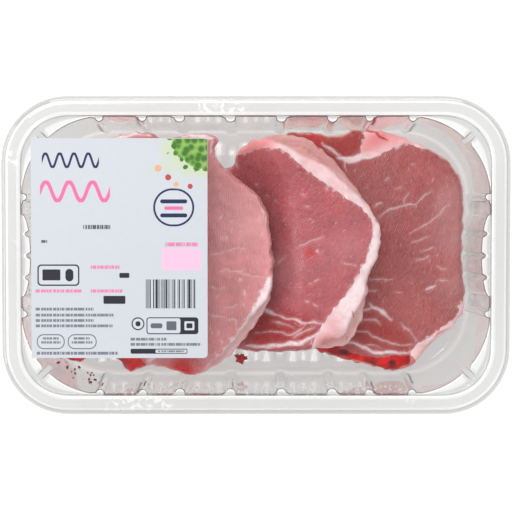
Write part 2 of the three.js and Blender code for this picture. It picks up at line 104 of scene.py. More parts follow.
MOUTH_CORE = np.array([LENGTH / 2 - OUTER_CORNER, WIDTH / 2 - OUTER_CORNER])
MOUTH_CORNER = OUTER_CORNER - FLANGE
BODY_CORE = np.array([LENGTH / 2, WIDTH / 2]) - FLANGE - BODY_CORNER
BODY_ARC = BODY_CORNER * math.pi / 2
QUARTER = BODY_CORE[1] + BODY_ARC + BODY_CORE[0]
GROOVE_AT = BODY_CORE[1] + BODY_ARC / 2
SHELF_Z = RIM_HEIGHT - SHELF_DROP
FILLET_TOP = WALL + FILLET

# Bars pressed up in the floor: place in the group, width, near and far end
BAR_PITCH = 22.9
BAR_GROUPS = 7
BAR_RISE = 0.9
BAR_TAPER = 0.72
BAR_EDGE = 0.18
BARS = [(0, 2.1, 47.5, 52), (-5.1, 3.2, 46.5, 52.5), (5.1, 3.2, 46.5, 52.5), (BAR_PITCH / 2, 3.2, 46.5, 49)]

# Chops; a chop's rim gives the lean edge's paleness, its width and how much skin shows on the fat's side
CHOP_THICK = 15
CHOP_FLOOR = 2
CHOP_GAP = 1
WALL_GAP = 0.35
LEFT_RISE = (-74, -44)
MIDDLE_RISE = (-3, 24)
MIDDLE_LEAN = (18, 52, 13)
CHOP_VOXEL = 0.56
RIM_IN = (0.0, 0.5, 1.2, 2.6)
RIM_UP = (0.62, 0.9, 0.97, 1.0)
SLANT_DROP = 0.07
FOOT_PROFILE = ([0, 0.7, 2.4], [0.3, 0.16, 0.0])


def srgb(red, green, blue):
    """A colour read off as 0 to 255, as the linear colour that a shader takes."""
    return tuple(((c / 255 + 0.055) / 1.055) ** 2.4 if c > 10 else c / 3294.6 for c in (red, green, blue))


def colour_property(name, description, default):
    return FloatVectorProperty(
        name=name, description=description, subtype="COLOR", default=default, min=0, max=1)


def share_property(name, description, default):
    return FloatProperty(name=name, description=description, subtype="FACTOR", default=default, min=0, max=1)


def length_property(name, description, default, least):
    return FloatProperty(
        name=name, description=description, subtype="DISTANCE", unit="LENGTH", default=default, min=least)


class TraySettings(bpy.types.PropertyGroup):
    tint: colour_property("Tint", "Colour of light through one wall", (0.637, 0.640, 0.631))
    roughness: share_property("Roughness", "Haze of the plastic", 0.06)
    wall: length_property("Wall", "Thickness of the formed sheet", 0.00036, 0.0002)


class FilmSettings(bpy.types.PropertyGroup):
    haze: share_property("Haze", "How much the film veils what is under it", 0.008)
    seal_haze: share_property("Seal haze", "Veil where the film is sealed to the flange", 0.12)
    thickness: length_property("Thickness", "Thickness of the film", 0.00012, 0.00002)


class LabelSettings(bpy.types.PropertyGroup):
    paper: colour_property("Paper", "Colour of the paper", srgb(202, 206, 213))
    navy: colour_property("Navy ink", "Colour of the heavy marks", srgb(32, 44, 84))
    pink: colour_property("Pink ink", "Colour of the pink marks", srgb(226, 110, 160))


class MeatSettings(bpy.types.PropertyGroup):
    left_lean: colour_property("Left lean", "Colour of the top chop", srgb(206, 125, 128))
    middle_lean: colour_property("Middle lean", "Colour of the middle chop", srgb(172, 65, 73))
    right_lean: colour_property("Right lean", "Colour of the lowest chop", srgb(162, 64, 62))
    deep_lean: colour_property("Deep lean", "Colour of the reddest muscle", srgb(152, 32, 30))
    fat: colour_property("Fat", "Colour of clean fat", srgb(235, 215, 217))
    bone: colour_property("Bone", "Colour of sawn red bone", srgb(158, 4, 3))
    voxel: length_property("Mesh step", "Distance between a chop mesh's points", CHOP_VOXEL * MM, 0.0004)


class JuiceSettings(bpy.types.PropertyGroup):
    colour: colour_property("Juice", "Colour of the red juice", srgb(112, 20, 24))
    seed: IntProperty(name="Seed", description="Start of the random draw of drops", default=7)


class StageSettings(bpy.types.PropertyGroup):
    key_power: FloatProperty(
        name="Soft boxes", description="Power of a soft box at full share", default=4.6, min=0, unit="POWER")
    sky: FloatProperty(name="Sky", description="Strength of the even white light", default=0.54, min=0)


SETTINGS = {
    "meat_pack_tray": TraySettings,
    "meat_pack_film": FilmSettings,
    "meat_pack_label": LabelSettings,
    "meat_pack_meat": MeatSettings,
    "meat_pack_juice": JuiceSettings,
    "meat_pack_stage": StageSettings,
}


# Modelling helpers
def deselect():
    if bpy.context.object and bpy.context.mode != "OBJECT":
        bpy.ops.object.mode_set(mode="OBJECT")
    bpy.ops.object.select_all(action="DESELECT")


def pick(piece):
    deselect()
    piece.select_set(True)
    bpy.context.view_layer.objects.active = piece


def in_edit_mode(piece, *steps):
    """Runs modelling steps on the whole of a piece."""
    pick(piece)
    bpy.ops.object.mode_set(mode="EDIT")
    bpy.ops.mesh.select_all(action="SELECT")
    for step in steps:
        step()
    bpy.ops.object.mode_set(mode="OBJECT")


def merge_doubles():
    bpy.ops.mesh.remove_doubles(threshold=0.5e-6)


def point_outwards():
    bpy.ops.mesh.normals_make_consistent(inside=False)


def apply_modifier(piece, kind, **values):
    pick(piece)
    modifier = piece.modifiers.new(kind.lower(), kind)
    for name, value in values.items():
        setattr(modifier, name, value)
    bpy.ops.object.modifier_apply(modifier=modifier.name)


def points_of(piece):
    """The piece's points in millimetres."""
    flat = np.empty(len(piece.data.vertices) * 3)
    piece.data.vertices.foreach_get("co", flat)
    return flat.reshape(-1, 3) / MM


def move_points(piece, points):
    piece.data.vertices.foreach_set("co", (np.asarray(points) * MM).ravel())
    piece.data.update()


def name_piece(name):
    piece = bpy.context.object
    piece.name = name
    piece.data.name = name
    return piece


def wrap_grid(name, rings):
    """A grid laid on rings of points: its rows follow the rings and its columns run across them."""
    rings = np.asarray(rings)
    rows, columns = rings.shape[0] - 1, rings.shape[1] - 1
    deselect()
    bpy.ops.mesh.primitive_grid_add(x_subdivisions=columns, y_subdivisions=rows, size=1)
    piece = name_piece(name)
    start = points_of(piece) * MM
    column = np.rint((start[:, 0] + 0.5) * columns).astype(int)
    row = np.rint((start[:, 1] + 0.5) * rows).astype(int)
    move_points(piece, rings[row, column])
    in_edit_mode(piece, merge_doubles)
    return piece


def prism(name, loop, low, high):
    """An upright solid over a loop of points."""
    deselect()
    bpy.ops.mesh.primitive_circle_add(vertices=len(loop), radius=1, fill_type="NGON")
    piece = name_piece(name)
    move_points(piece, np.column_stack([loop, np.full(len(loop), low)]))
    lift = {"value": (0, 0, (high - low) * MM)}
    in_edit_mode(
        piece,
        lambda: bpy.ops.mesh.extrude_region_move(TRANSFORM_OT_translate=lift),
        lambda: bpy.ops.mesh.select_all(action="SELECT"),
        point_outwards)
    return piece


def finish_piece(piece, material, body="root", nodes=(), angle=40):
    """Gives a piece its shading, material, body, slot and the nodes it stands for."""
    pick(piece)
    bpy.ops.object.shade_smooth_by_angle(angle=math.radians(angle))
    piece.data.materials.clear()
    piece.data.materials.append(material)
    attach(piece, body)
    if nodes:
        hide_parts(*nodes)
    deselect()


def store(piece, name, values):
    """Keeps one number for each point of a piece, for its material."""
    attribute = piece.data.attributes.new(name, "FLOAT", "POINT")
    attribute.data.foreach_set("value", np.asarray(values, dtype=np.float32))


# Plan geometry
def ease(value, start, end):
    """Smooth step from 0 at the start to 1 at the end."""
    t = np.clip((np.asarray(value, dtype=float) - start) / (end - start), 0, 1)
    return t * t * (3 - 2 * t)


def smooth_line(knots, step, closed):
    """Points about a step apart on a centripetal curve through the knots."""
    knots = np.asarray(knots, dtype=float)
    count = len(knots)
    spans = count if closed else count - 1
    if not closed:
        knots = np.vstack([2 * knots[0] - knots[1], knots, 2 * knots[-1] - knots[-2]])
    made = []
    for i in range(spans):
        at = [(i + k - 1) % count if closed else i + k for k in range(4)]
        a, b, c, d = knots[at]
        pairs = ((a, b), (b, c), (c, d))
        gaps = [max(np.linalg.norm(q - p), 1e-6) ** 0.5 for p, q in pairs]
        times = np.cumsum([0] + gaps)
        steps = max(2, int(np.linalg.norm(c - b) / step))
        t = np.linspace(times[1], times[2], steps, endpoint=False)[:, None]

        def blend(p, q, start, end):
            return p + (q - p) * (t - start) / (end - start)

        ab, bc, cd = (blend(p, q, times[k], times[k + 1]) for k, (p, q) in enumerate(pairs))
        first = blend(ab, bc, times[0], times[2])
        second = blend(bc, cd, times[1], times[3])
        made.append(blend(first, second, times[1], times[2]))
    if not closed:
        made.append(knots[-2:-1])
    return np.vstack(made)


def anticlockwise(loop):
    x, y = np.asarray(loop).T
    area = np.sum(x * np.roll(y, -1) - y * np.roll(x, -1))
    return np.asarray(loop) if area > 0 else np.asarray(loop)[::-1]


def line_distance(x, y, line, closed=False):
    """Distance of each point to a line, and how far along the line the nearest place is, from 0 to 1."""
    line = np.asarray(line, dtype=float)
    ends = np.roll(line, -1, axis=0) if closed else line[1:]
    starts = line if closed else line[:-1]
    best = np.full(len(x), 1e9)
    along = np.zeros(len(x))
    for i, (a, b) in enumerate(zip(starts, ends)):
        run = b - a
        t = np.clip(((x - a[0]) * run[0] + (y - a[1]) * run[1]) / max(run @ run, 1e-12), 0, 1)
        gap = np.hypot(x - a[0] - t * run[0], y - a[1] - t * run[1])
        nearer = gap < best
        best[nearer] = gap[nearer]
        along[nearer] = (i + t[nearer]) / len(starts)
    return best, along


def ripple(x, y, wave, seed, count=14):
    """A smooth uneven field of about -1 to 1 with bumps of the given wavelength."""
    draw = np.random.default_rng(seed)
    field = np.zeros(len(x))
    for _ in range(count):
        angle, phase = draw.uniform(0, 2 * math.pi, 2)
        turn = 2 * math.pi / (wave * draw.uniform(0.7, 1.5))
        field += np.cos((x * math.cos(angle) + y * math.sin(angle)) * turn + phase)
    return field / math.sqrt(count) * 0.8


# The tray's formed wall
def half_round(distance, half):
    return np.sqrt(np.maximum(0, 1 - (distance / half) ** 2))


def bell(distance, half):
    return np.where(np.abs(distance) < half, 0.5 + 0.5 * np.cos(math.pi * distance / half), 0)


def inset(p, share, groove_share):
    """How far the wall stands inwards at a station, with its ribs and grooves faded."""
    from_side = QUARTER - p
    ribs = [depth * half_round(from_side - at, half) for at, half, depth in RIBS]
    ribs.append(NOTCH[2] * half_round(p - NOTCH[0], NOTCH[1]))
    shelf = SHELF_DEPTH * half_round(p, SHELF_HALF)
    flutes = FLUTE_DEPTH * (bell(p, FLUTE_HALF) + bell(p - FLUTE_PITCH, FLUTE_HALF))
    groove = GROOVE_DEPTH * half_round(p - GROOVE_AT, GROOVE_HALF)
    return share * (np.maximum.reduce(ribs) + np.maximum(shelf - flutes, 0)) - groove_share * groove


def wall_radius(p, z, fade=1.0):
    """The inner wall's distance from the body's core at a station and height."""
    down = (SHELF_Z - z) / SHELF_Z
    share = (1 - down * (1 - FOOT_SHARE)) * fade
    groove_share = np.maximum(0, 1 - down * GROOVE_FADE) * fade
    return BODY_CORNER - BODY_STEP - DRAFT * (SHELF_Z - z) - inset(p, share, groove_share)


def quarter_marks():
    """Stations in a quarter of the wall, closer together on ribs, flutes, grooves and floor bars."""
    turns = np.sin(np.radians(np.linspace(-90, 90, 13)))
    even = np.linspace(-1, 1, 9)
    marks = [0, QUARTER]
    marks += [QUARTER - at + half * u for at, half, _ in RIBS for u in turns]
    marks += [NOTCH[0] + NOTCH[1] * u for u in turns]
    marks += [FLUTE_HALF * u for u in even if u > 0] + [FLUTE_PITCH + FLUTE_HALF * u for u in even]
    marks += [GROOVE_AT + GROOVE_HALF * u for u in turns]
    marks += list(SHELF_HALF * np.sin(np.radians(np.linspace(0, 90, 16))))
    for x, width, _, _ in floor_bars():
        marks += [QUARTER - edge for side in (-1, 1) for grow in (-BAR_EDGE, BAR_EDGE)
                  if 0 < (edge := x + side * (width / 2 + grow)) < BODY_CORE[0]]
    marks = sorted(marks)
    filled = []
    for a, b in zip(marks, marks[1:]):
        if b - a > 0.12:
            filled += list(np.linspace(a, b, max(1, math.ceil((b - a) / 2.2)), endpoint=False))
    return np.array(filled + [QUARTER])


def floor_bars():
    """Place, width, near end and far end of each pressed bar along one long side."""
    for group in range(BAR_GROUPS):
        middle = (group - (BAR_GROUPS - 1) / 2) * BAR_PITCH
        for at, width, near, far in BARS:
            if group < BAR_GROUPS - 1 or at < BAR_PITCH / 2:
                yield middle + at, width, near, far


class Stations:
    """Points all round the body's core, each with the direction in which the wall stands off."""

    def __init__(self, marks):
        back = marks[::-1]
        count = len(marks) - 1
        self.p = np.concatenate([marks, back[1:], marks[1:], back[1:]])
        sign_x = np.concatenate([np.ones(count + 1), -np.ones(2 * count), np.ones(count)])
        sign_y = np.concatenate([np.ones(2 * count + 1), -np.ones(2 * count)])
        angle = np.clip((self.p - BODY_CORE[1]) / BODY_CORNER, 0, math.pi / 2)
        core_x = np.where(angle < math.pi / 2, BODY_CORE[0], QUARTER - self.p)
        core_y = np.where(angle > 0, BODY_CORE[1], self.p)
        self.core = np.column_stack([core_x * sign_x, core_y * sign_y])
        self.normal = np.column_stack([np.cos(angle) * sign_x, np.sin(angle) * sign_y])

    def ring(self, radius, z):
        flat = self.core + self.normal * np.asarray(radius).reshape(-1, 1)
        return np.column_stack([flat, np.broadcast_to(z, len(flat))])

    def mouth_radius(self, out):
        """How far each station stands from the core on the flange's outline grown by out."""
        low, high = np.zeros(len(self.p)), np.full(len(self.p), 3.0 * BODY_CORNER)
        for _ in range(HALVINGS):
            middle = (low + high) / 2
            beyond = np.abs(self.core + self.normal * middle[:, None]) - MOUTH_CORE
            outside = np.hypot(*np.maximum(beyond, 0).T) > MOUTH_CORNER + out
            high = np.where(outside, middle, high)
            low = np.where(outside, low, middle)
        return low


SKIRT_TOP = RIM_HEIGHT - BEVEL_DROP
CREASE = FLANGE - SKIRT

# The flange from the skirt's edge inwards: how far out from the mouth, and height
FLANGE_PROFILE = [
    (FLANGE, SKIRT_TOP - SKIRT_DROP + 0.1),
    (FLANGE - 0.16, SKIRT_TOP - SKIRT_DROP + 0.75),
    (FLANGE - 0.75, SKIRT_TOP - 0.85),
    (CREASE + 0.35, SKIRT_TOP - 0.36),
    (CREASE + 0.1, SKIRT_TOP - 0.26),
    (CREASE - 0.15, SKIRT_TOP - 0.05),
    (CREASE - 0.9, RIM_HEIGHT - 0.28),
    (CREASE - BEVEL - 0.1, RIM_HEIGHT - 0.03),
    (CREASE - BEVEL - 0.7, RIM_HEIGHT),
    (BEVEL + 0.5, RIM_HEIGHT),
    (BEVEL, RIM_HEIGHT - 0.03),
    (BEVEL - 0.5, RIM_HEIGHT - 0.2),
    (0.3, SKIRT_TOP + 0.12),
    (0.0, SKIRT_TOP - 0.2),
    (-0.1, SKIRT_TOP - 0.7),
]
FILM_PART = slice(5, 11)
# Rings on the shelf between the mouth and the wall, as shares of the way or of the lip's rounding
SHELF_EDGE = [(0.06, 0.25), (0.16, 0.03)]
SHELF_RINGS = (0.2, 0.36, 0.48, 0.6, 0.8, 1)
LIP_START = 1.15
LIP_RINGS = [(0.45, 0.16), (0.1, 0.5)]
WALL_HEIGHTS = [SHELF_Z - LIP, 41, 39, 35, 31, 27, 23, 18, 13, 9, 6.5, FILLET_TOP]
FILLET_ANGLES = [18, 36, 54, 72, 90]
FLOOR_RADIUS = BODY_CORNER - BODY_STEP - DRAFT * (SHELF_Z - FILLET_TOP) - FILLET


def bar_height(x, y):
    """Rise of the pressed bars over the floor."""
    rise = np.zeros(len(x))
    y = np.abs(y)
    for at, width, near, far in floor_bars():
        half = width / 2 * (BAR_TAPER + (1 - BAR_TAPER) * ease(y, near, far))
        across = 1 - ease(np.abs(x - at), half - BAR_EDGE, half + BAR_EDGE)
        along = ease(y, near - BAR_EDGE, near + BAR_EDGE) * (1 - ease(y, far - BAR_EDGE, far + BAR_EDGE))
        rise = np.maximum(rise, across * along)
    return BAR_RISE * rise


def taper_bars(x, y):
    """Draws the stations at the bars' edges in towards the middle of the floor."""
    moved = x.copy()
    for at, width, near, far in floor_bars():
        reach = width / 2 + BAR_EDGE * 1.5
        close = (np.abs(x - at) <= reach) & (np.abs(y) > near - 1) & (np.abs(y) < far + 1)
        share = BAR_TAPER + (1 - BAR_TAPER) * ease(np.abs(y), near, far)
        moved = np.where(close, at + (x - at) * share, moved)
    return moved


def tray_rings():
    """The tray's inner and upper skin, from the skirt's edge over the flange to the middle of the floor."""
    stations = Stations(quarter_marks())
    rings = [stations.ring(stations.mouth_radius(out), z) for out, z in FLANGE_PROFILE]
    mouth = stations.mouth_radius(FLANGE_PROFILE[-1][0])
    wall = wall_radius(stations.p, SHELF_Z)
    width = mouth - wall
    lip = np.minimum(LIP, width * 0.45)
    for share, rise in SHELF_EDGE:
        rings.append(stations.ring(mouth - width * share, SHELF_Z + rise))
    shelf_start = mouth - width * SHELF_EDGE[-1][0]
    shelf_end = wall + lip * LIP_START
    for share in SHELF_RINGS:
        rings.append(stations.ring(shelf_start + (shelf_end - shelf_start) * share, SHELF_Z))
    for back, drop in LIP_RINGS:
        rings.append(stations.ring(wall + lip * back, SHELF_Z - lip * drop))
    rings += [stations.ring(wall_radius(stations.p, z), z) for z in WALL_HEIGHTS]
    for degrees in FILLET_ANGLES:
        angle = math.radians(degrees)
        foot = wall_radius(stations.p, FILLET_TOP, fade=math.cos(angle) ** 2)
        radius = foot - FILLET * (1 - math.cos(angle))
        rings.append(stations.ring(radius, FILLET_TOP - FILLET * math.sin(angle)))
    bar_ends = {abs(end - BODY_CORE[1]) for _, _, near, far in BARS for end in (near, far)}
    edges = sorted({end + side * BAR_EDGE for end in bar_ends for side in (-1, 1)}, reverse=True)
    for radius in [FLOOR_RADIUS - 0.8, *edges, 14, 0]:
        ring = stations.ring(np.full(len(stations.p), radius), WALL)
        ring[:, 0] = taper_bars(ring[:, 0], ring[:, 1])
        ring[:, 2] += bar_height(ring[:, 0], ring[:, 1])
        rings.append(ring)
    for share in (0.5, 0):
        rings.append(np.column_stack([stations.core * share, np.full(len(stations.p), WALL)]))
    return rings


def place_on_wall(points):
    """Each point's core place, offset from it, distance from it and station in its quarter."""
    core = np.clip(points[:, :2], -BODY_CORE, BODY_CORE)
    away = points[:, :2] - core
    angle = np.arctan2(np.abs(away[:, 1]), np.abs(away[:, 0]))
    x, y = np.abs(points[:, :2]).T
    on_arc = (x > BODY_CORE[0]) & (y > BODY_CORE[1])
    p = np.where(on_arc, BODY_CORE[1] + angle * BODY_CORNER, y)
    p = np.where(~on_arc & (y > BODY_CORE[1]), QUARTER - x, p)
    return core, away, np.hypot(*away.T), p


def past_mouth(points):
    """How far each point lies outside the tray's mouth, seen from above."""
    return np.hypot(*np.maximum(np.abs(points[:, :2]) - MOUTH_CORE, 0).T) - MOUTH_CORNER


def between(value, low, high):
    return (value > low) & (value < high)


def tray_painted_light_lip_fog(points):
    """Painted light on the sheet, above 0 as painted highlight and below 0 as painted shade, then where its
    bends fade from sight, and its fog.
    """
    x, y, z = points.T
    _, _, distance, p = place_on_wall(points)
    beyond = past_mouth(points)
    # Painted highlight: the floor bars, the shelf's corners, the flange's bevels and the wall's foot are made
    # clearer so that they show bright
    bars = np.where(z < FILLET_TOP / 2, bar_height(x, y) / BAR_RISE, 0)
    over_wall = np.maximum(distance - wall_radius(p, SHELF_Z), 0)
    inside = beyond < -0.12
    shelf = (np.abs(z - SHELF_Z) < 0.5) & inside
    channel = np.abs(p - GROOVE_AT) < GROOVE_HALF + 0.6
    across = over_wall / np.maximum(over_wall - beyond, 0.01)
    painted_shelf_highlight = shelf * ~channel * (1 - ease(across, 0.5, 0.66))
    painted_bevel_highlight = between(beyond, 0.15, BEVEL + 0.1) | between(beyond, CREASE - BEVEL, CREASE - 0.3)
    foot = ease(z, 1.2, 3) * (1 - ease(z, 5, 9)) * 0.3
    clear = np.maximum.reduce([bars, painted_shelf_highlight * 0.6, painted_bevel_highlight * 0.5, foot])
    # Painted shade: dark lines at the crease and the mouth, a grey skirt and darker flutes
    line = np.maximum(1 - np.abs(beyond - CREASE) / 0.25, 1 - np.abs(beyond + 0.05) / 0.2)
    skirt = (beyond > CREASE + 0.2) * 0.12
    flutes = np.maximum.reduce([bell(p - at, FLUTE_SHADE_HALF) for at in FLUTE_SHADES])
    shade = 0.5 * flutes * ease(z, 3, 7) * (1 - ease(z, 20, 32))
    dull = np.maximum.reduce([line * 0.9, skirt, shade])
    lip = (1 - ease(np.abs(z - SHELF_Z), 0.5, 1.6)) * (1 - ease(over_wall, 0.3, 1.2)) * inside * ~channel
    fog = (x < 0) * (p < BODY_CORE[1] + 4) * ease(z, 2, 8) * (1 - ease(z, 36, 40))
    return clear - np.clip(dull, 0, 1), lip, fog


def press_into_tray(points):
    """Keeps points of the meat just inside the tray's wall and off its floor."""
    core, away, distance, p = place_on_wall(points)
    z = points[:, 2]
    level = np.maximum(z, FILLET_TOP)
    dip = np.clip(FILLET_TOP - z, 0, FILLET)
    limit = wall_radius(p, level) - WALL_GAP - (FILLET - np.sqrt(FILLET ** 2 - dip ** 2))
    share = np.where(distance > limit, limit / np.maximum(distance, 1e-6), 1)
    points[:, :2] = core + away * share[:, None]
    return points


# Material helpers
def new_material(name):
    material = bpy.data.materials.new(name)
    material.use_nodes = True
    material.node_tree.nodes.clear()
    return material, Tree(material.node_tree)


class Tree:
    """Adds and joins shader nodes; an input is given a value or another node's output."""

    def __init__(self, tree):
        self.tree = tree

    def node(self, kind, settings=None, **inputs):
        node = self.tree.nodes.new(kind)
        for name, value in (settings or {}).items():
            setattr(node, name, value)
        for name, value in inputs.items():
            self.put(node, name.replace("_", " "), value)
        return node

    def put(self, node, name, value):
        """Sets or joins an input, which is named, or counted as in0, in1 and so on."""
        counted = name.startswith("in") and name[2:].isdigit()
        socket = node.inputs[int(name[2:]) if counted else name]
        if isinstance(value, bpy.types.NodeSocket):
            self.tree.links.new(value, socket)
        elif socket.type == "RGBA":
            socket.default_value = (*value, 1)
        else:
            socket.default_value = value

    def math(self, operation, a, b=0.0, clamp=False):
        settings = {"operation": operation, "use_clamp": clamp}
        return self.node("ShaderNodeMath", settings, in0=a, in1=b).outputs[0]

    def mix(self, share, a, b):
        node = self.node("ShaderNodeMix", {"data_type": "RGBA"})
        self.put(node, "in0", share)
        self.put(node, "in6", a)
        self.put(node, "in7", b)
        return node.outputs[2]

    def vector_math(self, operation, a, b):
        return self.node("ShaderNodeVectorMath", {"operation": operation}, in0=a, in1=b).outputs[0]

    def times(self, a, b, clamp=False):
        return self.math("MULTIPLY", a, b, clamp)

    def span(self, value, low, high, to_low=0.0, to_high=1.0, smooth=True):
        """Maps a value from one range to another and holds it there."""
        node = self.node(
            "ShaderNodeMapRange", {"interpolation_type": "SMOOTHSTEP" if smooth else "LINEAR"},
            Value=value, From_Min=low, From_Max=high, To_Min=to_low, To_Max=to_high)
        return node.outputs["Result"]

    def noise(self, vector, scale, detail=2.0, roughness=0.5):
        node = self.node(
            "ShaderNodeTexNoise", Vector=vector, Scale=scale, Detail=detail, Roughness=roughness)
        return node.outputs["Fac"]

    def place(self, stretch=(1, 1, 1), turn=0.0):
        """Object coordinates for a pattern that is stretched and then turned about Z."""
        place = self.node("ShaderNodeTexCoord").outputs["Object"]
        mapping = self.node(
            "ShaderNodeMapping", {"vector_type": "TEXTURE"}, Vector=place,
            Scale=stretch, Rotation=(0, 0, turn))
        return mapping.outputs[0]

    def attribute(self, name):
        return self.node("ShaderNodeAttribute", {"attribute_name": name}).outputs["Fac"]

    def group(self, group, **inputs):
        node = self.node("ShaderNodeGroup", {"node_tree": group})
        for name, value in inputs.items():
            self.put(node, name.replace("_", " "), value)
        return node

    def bump(self, height, strength, distance):
        return self.node("ShaderNodeBump", Height=height, Strength=strength, Distance=distance).outputs[0]

    def surface(self, **inputs):
        shader = self.node("ShaderNodeBsdfPrincipled", **inputs)
        output = self.node("ShaderNodeOutputMaterial")
        self.tree.links.new(shader.outputs[0], output.inputs["Surface"])
        return shader


def new_group(name, inputs, outputs):
    """A shader node group with named sockets; returns it with its tree, its inputs and its output node."""
    group = bpy.data.node_groups.new(name, "ShaderNodeTree")
    for socket, kind in inputs.items():
        group.interface.new_socket(name=socket, in_out="INPUT", socket_type="NodeSocket" + kind)
    for socket, kind in outputs.items():
        group.interface.new_socket(name=socket, in_out="OUTPUT", socket_type="NodeSocket" + kind)
    tree = Tree(group)
    return group, tree, tree.node("NodeGroupInput").outputs, tree.node("NodeGroupOutput")


def once(make):
    """Builds a node group the first time it is asked for and hands back the same one later."""
    made = []

    def get():
        if not made:
            made.append(make())
        return made[0]

    return get


@once
def muscle_grain():
    """Fine fibres and saw marks along one direction, with sparse pale flecks; both run from 0 to 1."""
    group, tree, given, out = new_group(
        "muscle_grain", {"Vector": "Vector", "Fineness": "Float"}, {"Streak": "Float", "Fleck": "Float"})
    fibre = tree.noise(given["Vector"], given["Fineness"], detail=3, roughness=0.65)
    saw = tree.node(
        "ShaderNodeTexWave", {"wave_type": "BANDS", "bands_direction": "X"}, Vector=given["Vector"],
        Scale=tree.times(given["Fineness"], 0.19), Distortion=3.0, Detail=2.0, Detail_Scale=0.6)
    mixed = tree.math("ADD", tree.times(fibre, 0.78), tree.times(saw.outputs["Fac"], 0.22))
    coarse = tree.times(given["Fineness"], 0.5)
    fleck = tree.noise(given["Vector"], coarse, detail=4, roughness=0.8)
    tree.put(out, "Streak", tree.span(mixed, 0.4, 0.62))
    tree.put(out, "Fleck", tree.span(fleck, 0.61, 0.68))
    return group


@once
def ragged_edge():
    """Turns a distance in millimetres, roughened by noise, into a mask with a soft uneven edge."""
    group, tree, given, out = new_group(
        "ragged_edge", {"Distance": "Float", "Vector": "Vector", "Fineness": "Float", "Raggedness": "Float"},
        {"Mask": "Float"})
    noise = tree.noise(given["Vector"], given["Fineness"], detail=3, roughness=0.6)
    centred = tree.math("SUBTRACT", noise, 0.5)
    shifted = tree.math("ADD", given["Distance"], tree.times(centred, given["Raggedness"]))
    tree.put(out, "Mask", tree.span(shifted, 0.38, -0.3))
    return group


@once
def wet_sheen():
    """Roughness of a moist cut face: mostly wet, with duller patches."""
    group, tree, given, out = new_group(
        "wet_sheen", {"Vector": "Vector", "Wet": "Float", "Dull": "Float"}, {"Roughness": "Float"})
    patches = tree.noise(given["Vector"], 140.0, detail=3)
    mask = tree.span(patches, 0.35, 0.65)
    run = tree.math("SUBTRACT", given["Dull"], given["Wet"])
    tree.put(out, "Roughness", tree.math("ADD", given["Wet"], tree.times(mask, run)))
    return group


@once
def print_box():
    """Mask of a printed box with round corners; sizes are in metres on the label's face."""
    group, tree, given, out = new_group(
        "print_box", {"Vector": "Vector", "Middle": "Vector", "Half": "Vector", "Corner": "Float"},
        {"Mask": "Float"})
    offset = tree.vector_math("SUBTRACT", given["Vector"], given["Middle"])
    beyond = tree.vector_math("SUBTRACT", tree.vector_math("ABSOLUTE", offset, (0, 0, 0)), given["Half"])
    split = tree.node("ShaderNodeSeparateXYZ", Vector=beyond)
    across = tree.math("MAXIMUM", tree.math("ADD", split.outputs[0], given["Corner"]), 0)
    along = tree.math("MAXIMUM", tree.math("ADD", split.outputs[1], given["Corner"]), 0)
    length = tree.math("SQRT", tree.math("ADD", tree.times(across, across), tree.times(along, along)))
    tree.put(out, "Mask", tree.math("LESS_THAN", length, tree.math("ADD", given["Corner"], 1e-7)))
    return group


def blend_colours(a, b, share):
    return tuple(p + (q - p) * share for p, q in zip(a, b))


def light_only(tree):
    """1 for lamp light and bounced light, 0 for the eye."""
    path = tree.node("ShaderNodeLightPath").outputs
    return tree.math("MAXIMUM", path["Is Shadow Ray"], path["Is Diffuse Ray"])


def see_through(tree, kept, alpha=1.0):
    """Alpha for the eye; nearly all light passes, so that no black shadow falls."""
    open_to_light = tree.math("SUBTRACT", 1.0, tree.times(light_only(tree), 1 - kept))
    return tree.times(open_to_light, alpha)


# Materials
def tray_material(settings):
    material, tree = new_material("clear_tray")
    fine = tree.noise(tree.place(), 260.0, detail=2)
    fog = tree.noise(tree.place(), 45.0, detail=3)
    roughness = tree.span(fog, 0.45, 0.75, settings.roughness, settings.roughness + 0.12)
    # The clear attribute is painted light: above 0 the tint goes to white as painted highlight, below 0 it
    # darkens to half as painted shade
    clear = tree.attribute("clear")
    tint = tree.mix(tree.span(clear, 0, 1, smooth=False), tuple(settings.tint), (0.98, 0.98, 0.98))
    tint = tree.mix(tree.span(clear, 0, -1, smooth=False), tint, tuple(c * 0.5 for c in settings.tint))
    # The lip is made more see-through where the faint attribute is high
    lip_fade = tree.math("SUBTRACT", 1.0, tree.times(tree.attribute("faint"), 0.7))
    beads = tree.noise(tree.place(), 750.0, detail=2)
    misted = tree.times(tree.span(beads, 0.46, 0.6), tree.attribute("fog"))
    tint = tree.mix(tree.times(misted, 0.7), tint, (0.95, 0.86, 0.85))
    tree.surface(
        Base_Color=tint, Roughness=roughness, IOR=1.1, Transmission_Weight=1.0,
        Coat_Weight=1.0, Coat_Roughness=0.05, Coat_IOR=1.6, Alpha=see_through(tree, 0.06, lip_fade),
        Normal=tree.bump(fine, 0.04, 0.0001))
    return material


def film_material(settings):
    material, tree = new_material("lid_film")
    facing = tree.node("ShaderNodeLayerWeight", Blend=0.5).outputs["Facing"]
    seal = tree.attribute("seal")
    crinkle = tree.noise(tree.place(), 420.0, detail=3, roughness=0.6)
    spread = tree.noise(tree.place(), 26.0, detail=1)
    fleck = tree.times(tree.span(crinkle, 0.5, 0.57), tree.span(spread, 0.6, 0.66))
    fleck = tree.times(fleck, seal)
    veil = tree.span(seal, 0, 1, settings.haze, settings.seal_haze)
    alpha = tree.math("ADD", veil, tree.times(tree.math("POWER", facing, 3.0), 0.28))
    alpha = tree.math("MAXIMUM", alpha, tree.times(fleck, 0.45), clamp=True)
    alpha = tree.times(alpha, tree.math("SUBTRACT", 1.0, light_only(tree)))
    waves = tree.noise(tree.place(), 22.0, detail=2)
    tree.surface(
        Base_Color=(0.9, 0.9, 0.9), Roughness=0.08, IOR=1.5, Alpha=alpha,
        Normal=tree.bump(waves, 0.25, 0.002))
    return material


